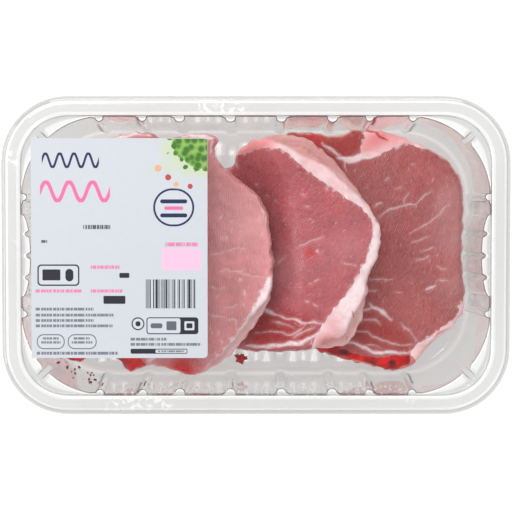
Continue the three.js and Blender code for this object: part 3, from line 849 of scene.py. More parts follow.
def lean_material(name, colour, deep, fat, turn, fineness=2100.0):
    """Moist lean meat with fibres, pale flecks, fat lines and patches that follow the mesh's attributes."""
    material, tree = new_material(name)
    plain = tree.place()
    fibres = tree.group(muscle_grain(), Vector=tree.place(stretch=(1, 4.5, 2), turn=turn), Fineness=fineness)
    broad = tree.noise(plain, 95.0, detail=5, roughness=0.6)
    vein = tree.group(ragged_edge(), Distance=tree.attribute("vein"), Vector=plain, Fineness=1500.0,
                      Raggedness=0.9).outputs["Mask"]
    tone = tree.attribute("tone")
    pale = blend_colours(colour, fat, 0.32)
    dark = tuple(c * 0.8 for c in colour)
    cream = blend_colours(fat, colour, 0.34)
    mottled = tree.mix(tree.span(broad, 0.32, 0.66), dark, colour)
    streaked = tree.mix(tree.times(fibres.outputs["Streak"], 0.4), mottled, pale)
    deep_streaked = tree.mix(tree.times(fibres.outputs["Streak"], 0.45), deep, colour)
    # Tone is mostly the meat's own redder and paler patches; a few tone patches are painted shadow or painted
    # light, as marked in the chop tables
    redder = tree.mix(tree.span(tone, 0.0, -1.0), streaked, deep_streaked)
    paler = tree.mix(tree.times(tree.span(tone, 0.0, 1.0), 0.7), redder, pale)
    halo = tree.span(tree.attribute("vein"), 1.5, 0.0)
    paler = tree.mix(tree.times(halo, 0.3), paler, pale)
    flecked = tree.mix(tree.times(fibres.outputs["Fleck"], 0.6), paler, cream)
    rimmed = tree.mix(tree.attribute("rim"), flecked, srgb(206, 160, 146))
    blooded = tree.mix(tree.attribute("red"), rimmed, srgb(190, 24, 22))
    thin = tree.mix(tree.times(vein, 0.7), blooded, cream)
    deeper = tree.math("ADD", tree.attribute("vein"), 0.5)
    solid = tree.group(
        ragged_edge(), Distance=deeper, Vector=plain, Fineness=700.0, Raggedness=1.5).outputs["Mask"]
    veined = tree.mix(solid, thin, blend_colours(fat, colour, 0.12))
    sheen = tree.group(wet_sheen(), Vector=plain, Wet=0.2, Dull=0.42).outputs["Roughness"]
    height = tree.math("ADD", tree.times(fibres.outputs["Streak"], 0.4), broad)
    tree.surface(
        Base_Color=veined, Roughness=sheen, Specular_IOR_Level=0.4, Subsurface_Weight=0.1,
        Subsurface_Radius=(1.0, 0.3, 0.2), Subsurface_Scale=0.002, Normal=tree.bump(height, 0.5, 0.0006))
    return material


def fat_material(name, colour, blush, skin, streak):
    """Waxy fat: blush from the blush attribute, membrane from the skin attribute, red streaks from vein."""
    material, tree = new_material(name)
    plain = tree.place()
    lobes = tree.noise(plain, 120.0, detail=4, roughness=0.6)
    fine = tree.noise(plain, 650.0, detail=3, roughness=0.6)
    lean = tree.group(ragged_edge(), Distance=tree.attribute("vein"), Vector=plain, Fineness=500.0,
                      Raggedness=1.2).outputs["Mask"]
    dull = blend_colours(tuple(c * 0.8 for c in colour), blush, 0.3)
    waxy = tree.mix(tree.span(lobes, 0.3, 0.6), dull, colour)
    grainy = tree.mix(tree.times(tree.span(fine, 0.55, 0.7), 0.3), waxy, dull)
    pink = tree.mix(tree.times(tree.attribute("blush"), 1.0, clamp=True), grainy, blush)
    membrane = tree.mix(tree.attribute("skin"), pink, skin)
    streaked = tree.mix(tree.times(lean, 0.9), membrane, streak)
    sheen = tree.group(wet_sheen(), Vector=plain, Wet=0.34, Dull=0.5).outputs["Roughness"]
    height = tree.math("ADD", tree.times(lobes, 0.7), tree.times(fine, 0.3))
    tree.surface(
        Base_Color=streaked, Roughness=sheen, Specular_IOR_Level=0.4, Subsurface_Weight=0.25,
        Subsurface_Radius=(1.0, 0.55, 0.45), Subsurface_Scale=0.003, Normal=tree.bump(height, 0.3, 0.0006))
    return material


def bone_material(name, colour, marrow, pale):
    """Sawn bone full of blood, with dark marrow and a paler rim."""
    material, tree = new_material(name)
    plain = tree.place()
    cells = tree.noise(plain, 520.0, detail=4, roughness=0.7)
    patches = tree.noise(plain, 130.0, detail=3)
    bright = tuple(c * 1.9 for c in colour)
    bloody = tree.mix(tree.span(patches, 0.38, 0.62), tuple(c * 0.7 for c in colour), bright)
    grained = tree.mix(tree.times(tree.span(cells, 0.55, 0.75), 0.16), bloody, pale)
    uneven = tree.math("ADD", tree.attribute("marrow"), tree.times(cells, 1.6))
    hollow = tree.mix(tree.span(uneven, 1.7, -0.6), grained, marrow)
    rim = tree.group(ragged_edge(), Distance=tree.attribute("vein"), Vector=plain, Fineness=500.0,
                     Raggedness=1.2).outputs["Mask"]
    rimmed = tree.mix(tree.times(rim, 0.7), hollow, pale)
    outside = tree.mix(tree.span(patches, 0.4, 0.6), srgb(190, 112, 104), srgb(146, 44, 42))
    sided = tree.mix(tree.times(tree.attribute("side"), 0.85), rimmed, outside)
    tree.surface(
        Base_Color=sided, Roughness=0.3, Specular_IOR_Level=0.25, Subsurface_Weight=0.08,
        Subsurface_Radius=(1.0, 0.2, 0.15), Subsurface_Scale=0.001, Normal=tree.bump(cells, 0.5, 0.0005))
    return material


def juice_material(settings):
    material, tree = new_material("juice")
    thin = tree.noise(tree.place(), 800.0, detail=2)
    colour = tree.mix(tree.span(thin, 0.3, 0.7), tuple(settings.colour), srgb(142, 40, 42))
    tree.surface(Base_Color=colour, Roughness=0.12, Specular_IOR_Level=0.5, Coat_Weight=0.3)
    return material


def water_material():
    material, tree = new_material("condensation")
    tree.surface(
        Base_Color=(0.84, 0.83, 0.83), Roughness=0.05, IOR=1.33, Transmission_Weight=0.6,
        Alpha=see_through(tree, 0.05))
    return material


# The chops: outlines and cuts in millimetres, seen from above
def flat_base(x, y):
    return np.full(len(x), float(CHOP_FLOOR))


def middle_base(x, y):
    shift = MIDDLE_LEAN[2] * ease(y, *MIDDLE_LEAN[:2])
    return CHOP_FLOOR + (CHOP_THICK + CHOP_GAP) * ease(x + shift, *MIDDLE_RISE)


def left_base(x, y):
    return middle_base(x, y) + (CHOP_THICK + CHOP_GAP) * ease(x, *LEFT_RISE)


def no_slant(x, y):
    return np.zeros(len(x))


def middle_slant(x, y):
    upper = 4.2 * ease(y, 20, 44) * ease(x, 0, 16) * (1 - ease(x, 44, 56))
    lower = 4.0 * ease(-y, 18, 30) * ease(x, 26, 33)
    return upper + lower


def left_slant(x, y):
    return 3.5 * (1 - ease(y, -32, -14)) * ease(x, -30, -14)


# A chop's veins are lines of a width, and its tones (dark below 0) and reds are patches of x, y, radius and
# strength
RIGHT_CHOP = {
    "outline": [
        (14, 56), (24, 57.5), (36, 55.5), (49, 59), (66, 56), (81, 50), (92, 42.5), (97.5, 32), (97.8, 14),
        (97.6, -6), (99, -19.5), (96.5, -31), (84, -41.5), (75.5, -52), (67, -55.5), (56, -54), (40, -49.5),
        (27, -44.5), (28, -28), (29, -8), (27, 16), (21, 38)],
    "base": flat_base,
    "slant": no_slant,
    "rim": (0.9, 1.3, 0.5),
    "seed": 31,
    "veins": [
        (1.1, [(57.8, 17.3), (61, 20), (65.2, 21.4), (69.1, 22.7), (74.6, 23.5), (78.1, 26.3),
               (82.1, 29.4)]),
        (0.7, [(69.1, 22.7), (69.5, 25.5), (71.4, 28.6)]),
        (1.3, [(55.9, 22), (57.5, 23.5), (59.6, 24.1)]),
        (0.8, [(90.1, 23.7), (87.8, 20.8), (85.5, 18.1), (82.4, 15.4), (77.7, 12.7), (72.2, 9.5)]),
        (0.8, [(73, 5.3), (75.8, 6.2), (80.8, 8)]),
        (0.7, [(77.3, 1), (80.8, 2.2), (83.5, 3.1)]),
        (0.6, [(60.6, 34.4), (61.9, 35.6)]),
        (0.6, [(65.3, 30.5), (68.3, 31.3)]),
        (0.6, [(72.6, 41.8), (75, 42.2)]),
        (0.7, [(75.2, -2.9), (79.9, -2), (81.2, -1)]),
        (0.8, [(53.1, -12), (62.1, -11.8), (64.2, -11.8)]),
        (0.6, [(62.1, -11.8), (60.3, -13.7)]),
        (0.6, [(51.8, -17.4), (57.4, -17.4)]),
        (0.9, [(65.2, -18), (68.4, -18.2)]),
        (2.4, [(79.9, -17.1), (82, -15.9), (84.6, -15)]),
        (0.7, [(85, -6.1), (89.2, -7.4)]),
        (0.5, [(85.8, -12), (90.5, -12.7)]),
        (1.6, [(48.5, -26.9), (54.8, -25.6)]),
        (3.2, [(53.1, -23.1), (54.8, -25.1), (57.8, -26), (60.3, -28.2), (63.8, -31)]),
        (0.8, [(48.9, -31.3), (54, -31.1), (56.9, -31.6), (58.6, -33.3)]),
        (0.8, [(68, -32.4), (68.9, -33.7), (71.8, -35.8), (73.9, -38.4), (75.4, -41)]),
        (1.0, [(45.9, -36.3), (51.8, -36.9), (55.3, -38.8), (58.6, -40.5), (62.5, -41.8), (67.6, -42.8),
               (74, -42.6)]),
        (3, [(42, -41.8), (46, -42), (48.8, -43.2), (53.6, -45.6), (57, -46.7), (62.1, -46.2), (67.1, -46.7),
               (72, -47.3)]),
        (0.7, [(51.4, -43.5), (55.3, -43.1), (58.6, -44.3)]),
        (6.6, [(38.5, 45.2), (43, 43.8), (50, 45.6), (57, 46.4)]),
        (2.6, [(31, 52), (35, 48.6), (40, 45.8)]),
        (1.6, [(41, 43.6), (42.6, 38.8)]),
        (1.5, [(96, 34), (97.3, 28), (97.6, 14), (97.4, -6), (98.6, -19)]),
    ],
    "tones": [
        (30, 52, 15, -1.0), (42, 53, 9, -0.9), (52, -33, 9, -0.55), (64, -38, 9, -0.6), (52, -40, 9, -0.6),
        # On the next line, the patch at 58, 5 is painted shadow right of the middle chop's fat
        (70, -44, 5, -0.5), (58, 5, 9, -0.35), (56, -16, 8, -0.3), (93, 8, 12, 0.6), (92, 28, 9, 0.5),
        (93, -16, 10, 0.45), (78, 44, 8, -0.25), (60, 40, 12, -0.15), (86, 20, 8, 0.15), (58, -8, 14, -0.2)],
    "reds": [(28, 54, 5, 0.75), (38, -46, 4, 0.6), (72.7, -47.7, 1.4, 0.9)],
}

MIDDLE_CHOP = {
    "outline": [
        (-11, 42), (-8, 49), (-1, 53.5), (14.5, 55.5), (24, 53.5), (32, 47.5), (41, 38), (50, 26), (56, 16),
        (58, 8.5), (56, -2), (51.5, -13), (51.5, -19), (43.5, -41), (26.5, -44), (3.5, -46.5), (-6, -46),
        (-22, -39), (-33, -22), (-36, 0), (-33, 20), (-23, 35)],
    "base": middle_base,
    "slant": middle_slant,
    "rim": (0.5, 0.7, 0.6),
    "seed": 32,
    "veins": [
        (0.7, [(9.6, -4.8), (13.8, -0.5)]),
        (0.7, [(39.9, -3.9), (43, -4.2), (45.9, -5.3)]),
        (0.9, [(24.3, -12.6), (25.6, -13.6)]),
        (0.8, [(26.7, -12.2), (28.6, -11)]),
        (1.2, [(22.8, -21), (24.6, -21.6)]),
        (1.0, [(26.4, -22.5), (27.9, -23.4)]),
        (0.7, [(19.7, 4), (25, 6), (30.9, 8.7)]),
        (0.9, [(31.8, 30.8), (32.8, 29.4)]),
        (0.8, [(22.6, 22.4), (24.4, 21.8)]),
        (0.9, [(24.3, 16.7), (25.4, 16.2)]),
        (1.3, [(-0.6, 32.9), (0.8, 31.9)]),
        (0.8, [(4.2, 27.4), (6.2, 27)]),
        (0.8, [(9.0, 25.4), (9.4, 24.2)]),
        (0.7, [(20.6, 27.9), (22.6, 27.4)]),
        (4.2, [(1.4, -24.8), (5, -26.4), (9.5, -28.2)]),
        (2.1, [(7.9, -27.3), (12.6, -29.2), (17.3, -29.7), (21.1, -31.1), (24.4, -31.3), (27.2, -30.9),
               (30.9, -31.8), (33, -34)]),
        (0.9, [(7.5, -31.3), (11.6, -32), (15.4, -32.7), (17.8, -33.7)]),
        (1.0, [(0, -37.4), (3.7, -36.7), (8.4, -36), (13.5, -36.7), (17.3, -36.5), (20.1, -34.6),
               (23, -32.3)]),
        (0.8, [(17.3, -38.4), (20.1, -36), (24.4, -34.1), (27.2, -32.7)]),
        (4.0, [(-4.5, -43.4), (2.8, -43.6), (10.7, -42.2), (17.3, -40.9), (22, -40.2), (24.8, -38.2),
               (29.5, -36.2)]),
        (1.6, [(-8.5, 40), (-9.6, 43), (-9.2, 46)]),
        (1.5, [(27.3, 1.9), (28.6, 1.2)]),
    ],
    "tones": [
        (6, 40, 15, -0.22), (18, 42, 12, -0.22), (-4, 34, 12, -0.1), (4, 14, 10, 0.2), (10, -34, 9, -1.0),
        (22, -35, 8, -0.9), (-2, -36, 8, -0.9), (36, 6, 15, 0.25), (26, -4, 16, 0.1), (44, 4, 8, 0.2),
        # On the next line, the patch at 9, -8 is painted light that lightens the shade along the left chop's
        # edge
        (24, -20, 10, -0.25), (9, -8, 11, 0.6), (30, 20, 10, -0.2)],
    "reds": [(-8.5, 45.8, 1.7, 1.0), (24.6, 1.2, 2.6, 0.55), (26.4, 0.4, 1.6, 0.4), (2, -41.4, 3, 0.55)],
}

LEFT_CHOP = {
    "outline": [
        (-78, 48), (-68, 54.5), (-52, 57), (-42, 53.5), (-29, 56), (-17.5, 54), (-19, 46), (-11, 37),
        (0, 29), (5, 19), (7.4, 4), (7.8, -14), (4, -26), (-3.5, -37), (-12, -47), (-27, -56), (-38, -54),
        (-50, -51.5), (-59, -55.5), (-65, -50), (-73, -43.5), (-84, -51.6), (-92.5, -48), (-92, -28),
        (-86, 0), (-83, 28)],
    "base": left_base,
    "slant": left_slant,
    "rim": (0.3, 0.7, 0.55),
    "seed": 33,
    "veins": [
        (1.2, [(-17.3, 16.7), (-15.3, 18.1)]),
        (0.6, [(-12.6, 15.2), (-10.7, 15.4)]),
        (1.2, [(-15.9, 8.1), (-15.1, 7.3)]),
        (0.6, [(-13.6, 9), (-13.4, 6.6)]),
        (0.7, [(-6.9, 11), (-6.3, 10.7)]),
        (0.7, [(-20, 0.1), (-14.7, 1.5), (-10.9, 2.8), (-7.5, 3.2), (-4.9, 2.4)]),
        (0.8, [(1.8, 9.2), (3, 8.6)]),
        (1.4, [(2.9, 21), (4.4, 18), (5.6, 14.4)]),
        (0.8, [(-17.1, -7.8), (-13.1, -6.6), (-11.1, -7.5), (-8, -7.8), (-4.8, -8.8), (-0.9, -9.8),
               (2.8, -10.2)]),
        (0.8, [(-8, -7.8), (-6, -6.7)]),
        (1.5, [(-7.6, -11.9), (-6.4, -11.2)]),
        (0.8, [(-20.9, -14.5), (-17.7, -15.5), (-14.6, -14.9)]),
        (1.0, [(-5.4, -16.4), (-5.1, -18.2)]),
        (1.2, [(-6, -22.7), (-5.6, -23.1)]),
        (0.6, [(-14.2, -23.9), (-11.1, -23.9), (-8.5, -22.5)]),
        (0.9, [(-21.3, -27.6), (-17.3, -28), (-14.2, -28.6)]),
        (0.8, [(-13.1, -29.6), (-9.1, -30), (-8.9, -32.7)]),
        (0.8, [(-17.1, -34.3), (-17.3, -36.8)]),
        (1.2, [(-16.4, -39.6), (-15.4, -40.6)]),
        (5.0, [(-76, 49), (-66, 54), (-52, 56), (-44, 54)]),
        (6.0, [(-36, 55), (-27, 55), (-19, 53)]),
        (3.4, [(-20, 52), (-20.5, 46)]),
        (2.0, [(-62, -47.5), (-66, -44), (-72, -41)]),
        (2.4, [(-50, -49), (-46, -47)]),
    ],
    "tones": [
        (-10, 20, 18, 0.35), (0, 10, 12, 0.25), (-14, 0, 14, 0.05), (-12, -22, 14, 0.1),
        (-22, -30, 10, 0.05), (-46, 48, 10, -0.6), (-60, -46, 8, -0.8), (-40, -48, 8, -0.1),
        (-30, -46, 5, -0.5), (-22, 42, 8, 0.1)],
    "reds": [(-19.2, 53.2, 0.9, 0.9), (-34, -53, 6.5, 1.3), (-46, 53, 4, 0.5), (-84, -45, 6, 0.5)],
}

# A cut runs along a line, and from the line's end to its start it goes round by way of far corners
CUTS = {
    "right_chop": [
        ("right_chop_fat_cap", [
            (49, 66), (51, 56), (49, 47), (55, 45.5), (62, 48.5), (70, 51.5), (79, 49.5), (86, 52)],
            [(120, 52), (120, 80), (49, 80)]),
        ("right_chop_bone", [
            (16, -41), (27, -41.5), (37.5, -43.5), (45, -46.5), (56, -49), (66.5, -48), (73, -48.5),
            (77, -55), (76, -66)],
            [(10, -66), (10, -41)]),
        ("right_chop_fat_tail", [
            (104, -19), (97, -22), (94.5, -29), (86.5, -35.5), (79.5, -40.5), (75, -43), (72, -49),
            (72, -62)],
            [(104, -62)]),
    ],
    "middle_chop": [
        ("middle_chop_fat_rim", [
            (-22, 47), (-7, 46.5), (1, 49), (12, 48), (21, 40.5), (31, 33.5), (41.5, 26), (49, 21),
            (53, 15.5), (53.2, 9), (51, 0), (47.5, -8), (43, -15.5), (36, -24.5), (30, -33), (26, -41),
            (24, -56)],
            [(80, -56), (80, 70), (-22, 70)]),
    ],
    "left_chop": [
        ("left_chop_fat_rim", [
            (14, -6), (6.5, -9), (1, -20), (-4.5, -29.5), (-10.5, -38), (-17, -46), (-25, -54), (-30, -66)],
            [(20, -66), (20, -6)]),
        ("left_chop_rib_bone", [
            (-68, -64), (-67, -50), (-63, -44.5), (-56, -44.5), (-51, -49), (-50, -64)], []),
        ("left_chop_chine_bone", [
            (-105, -38), (-92, -38.5), (-84, -40), (-78, -44), (-76, -60)],
            [(-105, -60)]),
    ],
}

# What shows in each fat and bone piece: red streaks or pale rims as lines of a width, blushes as patches of
# x, y, radius and share, membranes as a share and the line that they end at, and marrow as thick lines
DETAILS = {
    "right_chop_fat_cap": {
        "veins": [(2.6, [(48.5, 59), (52, 57.6), (55.9, 57), (57.6, 55.2), (61.8, 53)])],
        "blushes": [
            (60, 57, 8, 0.9), (54, 52, 6, 0.5), (70, 55, 6, 0.6), (50, 50, 4, 0.4), (82, 50, 5, 0.5)],
    },
    "right_chop_fat_tail": {
        "veins": [(0.6, [(84, -39), (88, -36)])],
        "blushes": [(78, -46, 5, 0.5), (94, -28, 6, 0.3), (88, -38, 5, 0.45), (96, -22, 4, 0.3)],
    },
    "right_chop_bone": {
        "veins": [
            (4, [(45, -50.2), (50, -51.8), (55, -53.2)]),
            (5, [(73, -47.5), (74, -50.5), (72.5, -53), (67, -54.6)])],
        "marrows": [(5, [(39, -45.4), (44.4, -47.2)]), (5.6, [(62.4, -51.6), (65.4, -50.6)])],
    },
    "middle_chop_fat_rim": {
        "veins": [
            (0.9, [(42.5, -38), (41.5, -40)]), (0.7, [(28, 49.5), (29.5, 48.4)]),
            (1.2, [(44.2, -26), (45, -28.5)])],
        "membranes": [
            (0.9, [(-14, 58), (0, 54.5), (11.6, 50.8), (20, 45.8), (27, 42.6), (34, 39.8), (38.7, 36.5),
                   (43.4, 32.3), (49.9, 26.2), (56, 17)]),
            (0.6, [(53, -7), (50.4, -13.9), (47.6, -21.9), (45.3, -25.6), (42.9, -29.8), (42, -33.1),
                   (41, -39.1), (40, -46)])],
        "blushes": [
            (-6, 49, 7, 1.0), (2, 51, 6, 0.8), (8, 53, 5, 0.4), (34, -30, 4, 0.5), (36, -38, 5, 0.6),
            (30, -40, 4, 0.8), (37, 36, 9, 0.3), (26, 44, 8, 0.25), (50, 22, 7, 0.2)],
    },
    "left_chop_fat_rim": {
        "veins": [],
        "blushes": [(-20, -50, 6, 0.6), (-28, -54, 5, 0.7), (-8, -38, 4, 0.15)],
    },
    "left_chop_rib_bone": {
        "veins": [(3, [(-67, -51), (-64, -46), (-59, -44.6), (-54, -46), (-50.6, -51)])],
        "marrows": [(2.6, [(-59.5, -50.5), (-58, -49.5)])],
    },
    "left_chop_chine_bone": {
        "veins": [(2.4, [(-94, -40), (-86, -41), (-80, -44)])],
        "marrows": [(2.4, [(-88, -45), (-84, -46)])],
    },
}


def chop_height(x, y, seed):
    """Unevenness of a cut face."""
    return 0.34 * ripple(x, y, 17, seed) + 0.13 * ripple(x, y, 6, seed + 50)


VEIN_WIDTH = 0.52
VEIN_REACH = 3.0
EDGE_WAVES = [(7, 0.36), (2.6, 0.24)]
CUT_WAVES = [(4, 0.36), (1.7, 0.12)]
FIRST_VOXEL = 1.1
SIDE_FROM = (0.62, 0.98)


def nearest_vein(x, y, veins, seed):
    """Signed distance in millimetres to the edge of the nearest fat line; lines thin out at their ends."""
    wander_x = x + 0.35 * ripple(x, y, 5, seed + 7)
    wander_y = y + 0.35 * ripple(x, y, 5, seed + 8)
    nearest = np.full(len(x), VEIN_REACH)
    for width, line in veins:
        gap, along = line_distance(wander_x, wander_y, smooth_line(line, 0.8, False))
        half = width / 2 * VEIN_WIDTH * (0.3 + 0.7 * np.sin(math.pi * along) ** 0.6)
        nearest = np.minimum(nearest, gap - half)
    return nearest


def past_line(x, y, line):
    """Signed distance to a line, above 0 on its left."""
    line = smooth_line(line, 1.5, False)
    gap, along = line_distance(x, y, line)
    at = np.minimum((along * (len(line) - 1)).astype(int), len(line) - 2)
    run = line[at + 1] - line[at]
    return gap * np.sign(run[:, 0] * (y - line[at, 1]) - run[:, 1] * (x - line[at, 0]))


def spots(x, y, places):
    """Sum of soft round patches, each with its middle, radius and strength."""
    total = np.zeros(len(x))
    for px, py, radius, strength in places:
        total += strength * np.exp(-((x - px) ** 2 + (y - py) ** 2) / radius ** 2)
    return total


def chop_block(name, chop, voxel):
    """A whole chop lying flat, with its edges rounded and an even mesh; also hands back its outline."""
    loop = anticlockwise(smooth_line(chop["outline"], 0.9, True))
    ragged = 0
    for i, (wave, reach) in enumerate(EDGE_WAVES):
        ragged = ragged + reach * ripple(*loop.T, wave, chop["seed"] + 3 + i)
    along = np.roll(loop, -1, axis=0) - np.roll(loop, 1, axis=0)
    along /= np.linalg.norm(along, axis=1)[:, None]
    loop = loop - np.column_stack([along[:, 1], -along[:, 0]]) * (0.3 + ragged)[:, None]
    block = prism(name, loop, 0, CHOP_THICK)
    apply_modifier(block, "REMESH", mode="VOXEL", voxel_size=FIRST_VOXEL * MM)
    points = points_of(block)
    x, y, z = points.T
    inside, _ = line_distance(x, y, loop, closed=True)
    slant = chop["slant"](x, y)
    upright = np.interp(inside - slant, RIM_IN, RIM_UP)
    sloping = RIM_UP[1] - SLANT_DROP * np.maximum(slant + RIM_IN[1] - inside, 0)
    top = np.where(inside < slant, np.minimum(upright, sloping) * ease(inside, -1.5, 0.8), upright)
    foot = np.interp(inside, *FOOT_PROFILE)
    points[:, 2] = CHOP_THICK * (foot + (top - foot) * np.clip(z / CHOP_THICK, 0, 1))
    move_points(block, points)
    apply_modifier(block, "REMESH", mode="VOXEL", voxel_size=voxel)
    apply_modifier(block, "SMOOTH", factor=0.5, iterations=2)
    return block, loop


def cut_piece(block, name, line, far, seed):
    """Cuts the part of the block inside a line off as its own piece."""
    smooth = smooth_line(line, 0.45, False)
    for wave, reach in CUT_WAVES:
        wander = np.column_stack([ripple(*smooth.T, wave, seed + 5), ripple(*smooth.T, wave, seed + 6)])
        smooth = smooth + reach * wander
    loop = anticlockwise(np.vstack([smooth, np.array(far).reshape(-1, 2)]))
    cutter = prism("cutter", loop, -5, CHOP_THICK + 5)
    piece = block.copy()
    piece.data = block.data.copy()
    piece.name = name + "_piece"
    piece.data.name = piece.name
    bpy.context.collection.objects.link(piece)
    apply_modifier(piece, "BOOLEAN", operation="INTERSECT", solver="MANIFOLD", object=cutter)
    apply_modifier(block, "BOOLEAN", operation="DIFFERENCE", solver="MANIFOLD", object=cutter)
    bpy.data.objects.remove(cutter)
    return piece


def lay_chop(piece, chop):
    """Bends a flat piece over what lies under it, makes its cut face uneven and keeps it in the tray."""
    points = points_of(piece)
    x, y, z = points.T
    top = ease(z, CHOP_THICK * 0.4, CHOP_THICK)
    vein = nearest_vein(x, y, chop["veins"], chop["seed"])
    relief = chop_height(x, y, chop["seed"]) - 0.22 * (1 - ease(np.abs(vein - 0.4), 0, 1.2))
    sway = 0.3 * (1 - ease(np.abs(z / CHOP_THICK - 0.5), 0.3, 0.5))
    flat = z.copy()
    points[:, 2] = z - 0.35 * top + relief * top + chop["base"](x, y)
    points[:, 0] += sway * ripple(x + z, y, 6, chop["seed"] + 21)
    points[:, 1] += sway * ripple(x, y + z, 6, chop["seed"] + 22)
    move_points(piece, press_into_tray(points))
    return x, y, flat, vein


def feather(x, y, lines, seed):
    """Distance to the nearest cut between lean and fat, less where fat runs into the lean in fingers."""
    near = np.min([line_distance(x, y, smooth_line(line, 1.5, False))[0] for line in lines], axis=0)
    fingers = np.clip(ripple(x, y, 3.4, seed + 9) + 0.22 * ripple(x, y, 1.3, seed + 10), 0, 1)
    return near + 0.1 - 1.3 * fingers


def make_chop(chop_name, chop, lean, fat, bone, voxel):
    """Builds one chop and cuts it into lean, fat and bone pieces, one for each node."""
    seed = chop["seed"]
    lean_node = chop_name + "_lean"
    block, edge = chop_block(lean_node + "_meat", chop, voxel)
    cuts = CUTS[chop_name]
    pieces = [(node, cut_piece(block, node, line, far, seed)) for node, line, far in cuts]
    fat_cuts = [line for node, line, _ in cuts if "fat" in node]
    rim_share, rim_width, skin_share = chop["rim"]
    for node, piece in [(lean_node, block), *pieces]:
        details = DETAILS.get(node, {})
        x, y, flat, vein = lay_chop(piece, chop)
        side = 1 - ease(flat / CHOP_THICK, *SIDE_FROM)
        inside, _ = line_distance(x, y, edge, closed=True)
        facet = 1 - ease(inside - chop["slant"](x, y), -0.1, rim_width)
        if piece is block:
            fringe = np.maximum(feather(x, y, fat_cuts, seed), -0.2)
            store(piece, "vein", np.minimum(vein, fringe) + 2.5 * side)
            store(piece, "rim", facet * rim_share)
            store(piece, "tone", spots(x, y, chop["tones"]))
            store(piece, "red", np.clip(spots(x, y, chop["reds"]), 0, 1))
            finish_piece(piece, lean, nodes=[node])
            continue
        store(piece, "vein", nearest_vein(x, y, details["veins"], seed))
        if "bone" in node:
            store(piece, "marrow", nearest_vein(x, y, details["marrows"], seed))
            store(piece, "side", side)
            finish_piece(piece, bone, nodes=[node])
        else:
            pinker = 1 - ease(feather(x, y, fat_cuts, seed + 3), -1, 0.8)
            blush = np.maximum(spots(x, y, details["blushes"]), 0.5 * pinker)
            store(piece, "blush", np.clip(blush, 0, 1))
            skin = facet * skin_share
            for share, line in details.get("membranes", []):
                skin = np.maximum(skin, share * ease(past_line(x, y, line), -0.6, 1.0))
            store(piece, "skin", skin)
            finish_piece(piece, fat, nodes=[node])


class MEATPACK_OT_tray(bpy.types.Operator):
    """Models the clear tray with its flange, ribs, fluted shelves and floor bars"""

    bl_idname = "meatpack.tray"
    bl_label = "Tray"

    def execute(self, context):
        settings = context.scene.meat_pack_tray
        tray = wrap_grid("clear_tray", tray_rings())
        skin_count = len(tray.data.vertices)
        apply_modifier(tray, "SOLIDIFY", thickness=settings.wall, offset=-1, use_even_offset=False)
        points = points_of(tray)
        under = points[skin_count:, 2]
        under -= (WALL - settings.wall / MM) * (1 - ease(under, 0.3, FILLET))
        points[:, 2] = np.maximum(points[:, 2], 0)
        move_points(tray, points)
        in_edit_mode(tray, merge_doubles)
        for name, values in zip(("clear", "faint", "fog"), tray_painted_light_lip_fog(points_of(tray))):
            store(tray, name, values)
        finish_piece(tray, tray_material(settings), nodes=["tray"], angle=50)
        return {"FINISHED"}


class MEATPACK_OT_film(bpy.types.Operator):
    """Models the lid film, stretched over the mouth and sealed down to the flange's outer crease"""

    bl_idname = "meatpack.film"
    bl_label = "Lid film"

    def execute(self, context):
        settings = context.scene.meat_pack_film
        top = box_mm("lid_film")[1][2]
        rise = top - RIM_HEIGHT
        stations = Stations(np.linspace(0, QUARTER, 61))
        outer = [(out, z + rise) for out, z in FLANGE_PROFILE[FILM_PART]]
        rings = [stations.ring(stations.mouth_radius(out), z) for out, z in outer]
        edge = stations.mouth_radius(BEVEL)
        for share in (0.97, 0.92, 0.84, 0.7, 0.5, 0.25, 0):
            rings.append(stations.ring(edge * share, top))
        for share in (0.75, 0.5, 0.25, 0):
            rings.append(np.column_stack([stations.core * share, np.full(len(stations.p), top)]))
        film = wrap_grid("clear_lid_film", rings)
        points = points_of(film)
        x, y, z = points.T
        beyond = past_mouth(points)
        inside = 1 - ease(beyond, -12, 0)
        points[:, 2] = z - 0.05 * inside * (1 + ripple(x, y, 45, 91)).clip(0, 2) * 0.5
        move_points(film, points)
        store(film, "seal", ease(beyond, BEVEL * 0.4, BEVEL * 1.1))
        apply_modifier(film, "SOLIDIFY", thickness=settings.thickness, offset=-1, use_even_offset=False)
        finish_piece(film, film_material(settings), nodes=["lid_film"], angle=50)
        return {"FINISHED"}


LABEL_LOW, LABEL_HIGH = box_mm("label")
LABEL_CORNER = 1.8
# Millimetres a pixel at the tray's rim, the same in metres for corners and spots, and the photograph's middle
RIM_STEP = 0.45
PRINT_STEP = RIM_STEP * MM
PHOTO_MIDDLE = (255.7, 255.6)


def label_spot(px, py):
    """Place on the label, in metres, of a pixel of the photograph."""
    step = RIM_STEP * (EYE_HEIGHT - LABEL_HIGH[2]) / (EYE_HEIGHT - RIM_HEIGHT) * MM
    return (px - PHOTO_MIDDLE[0]) * step, (PHOTO_MIDDLE[1] - py) * step


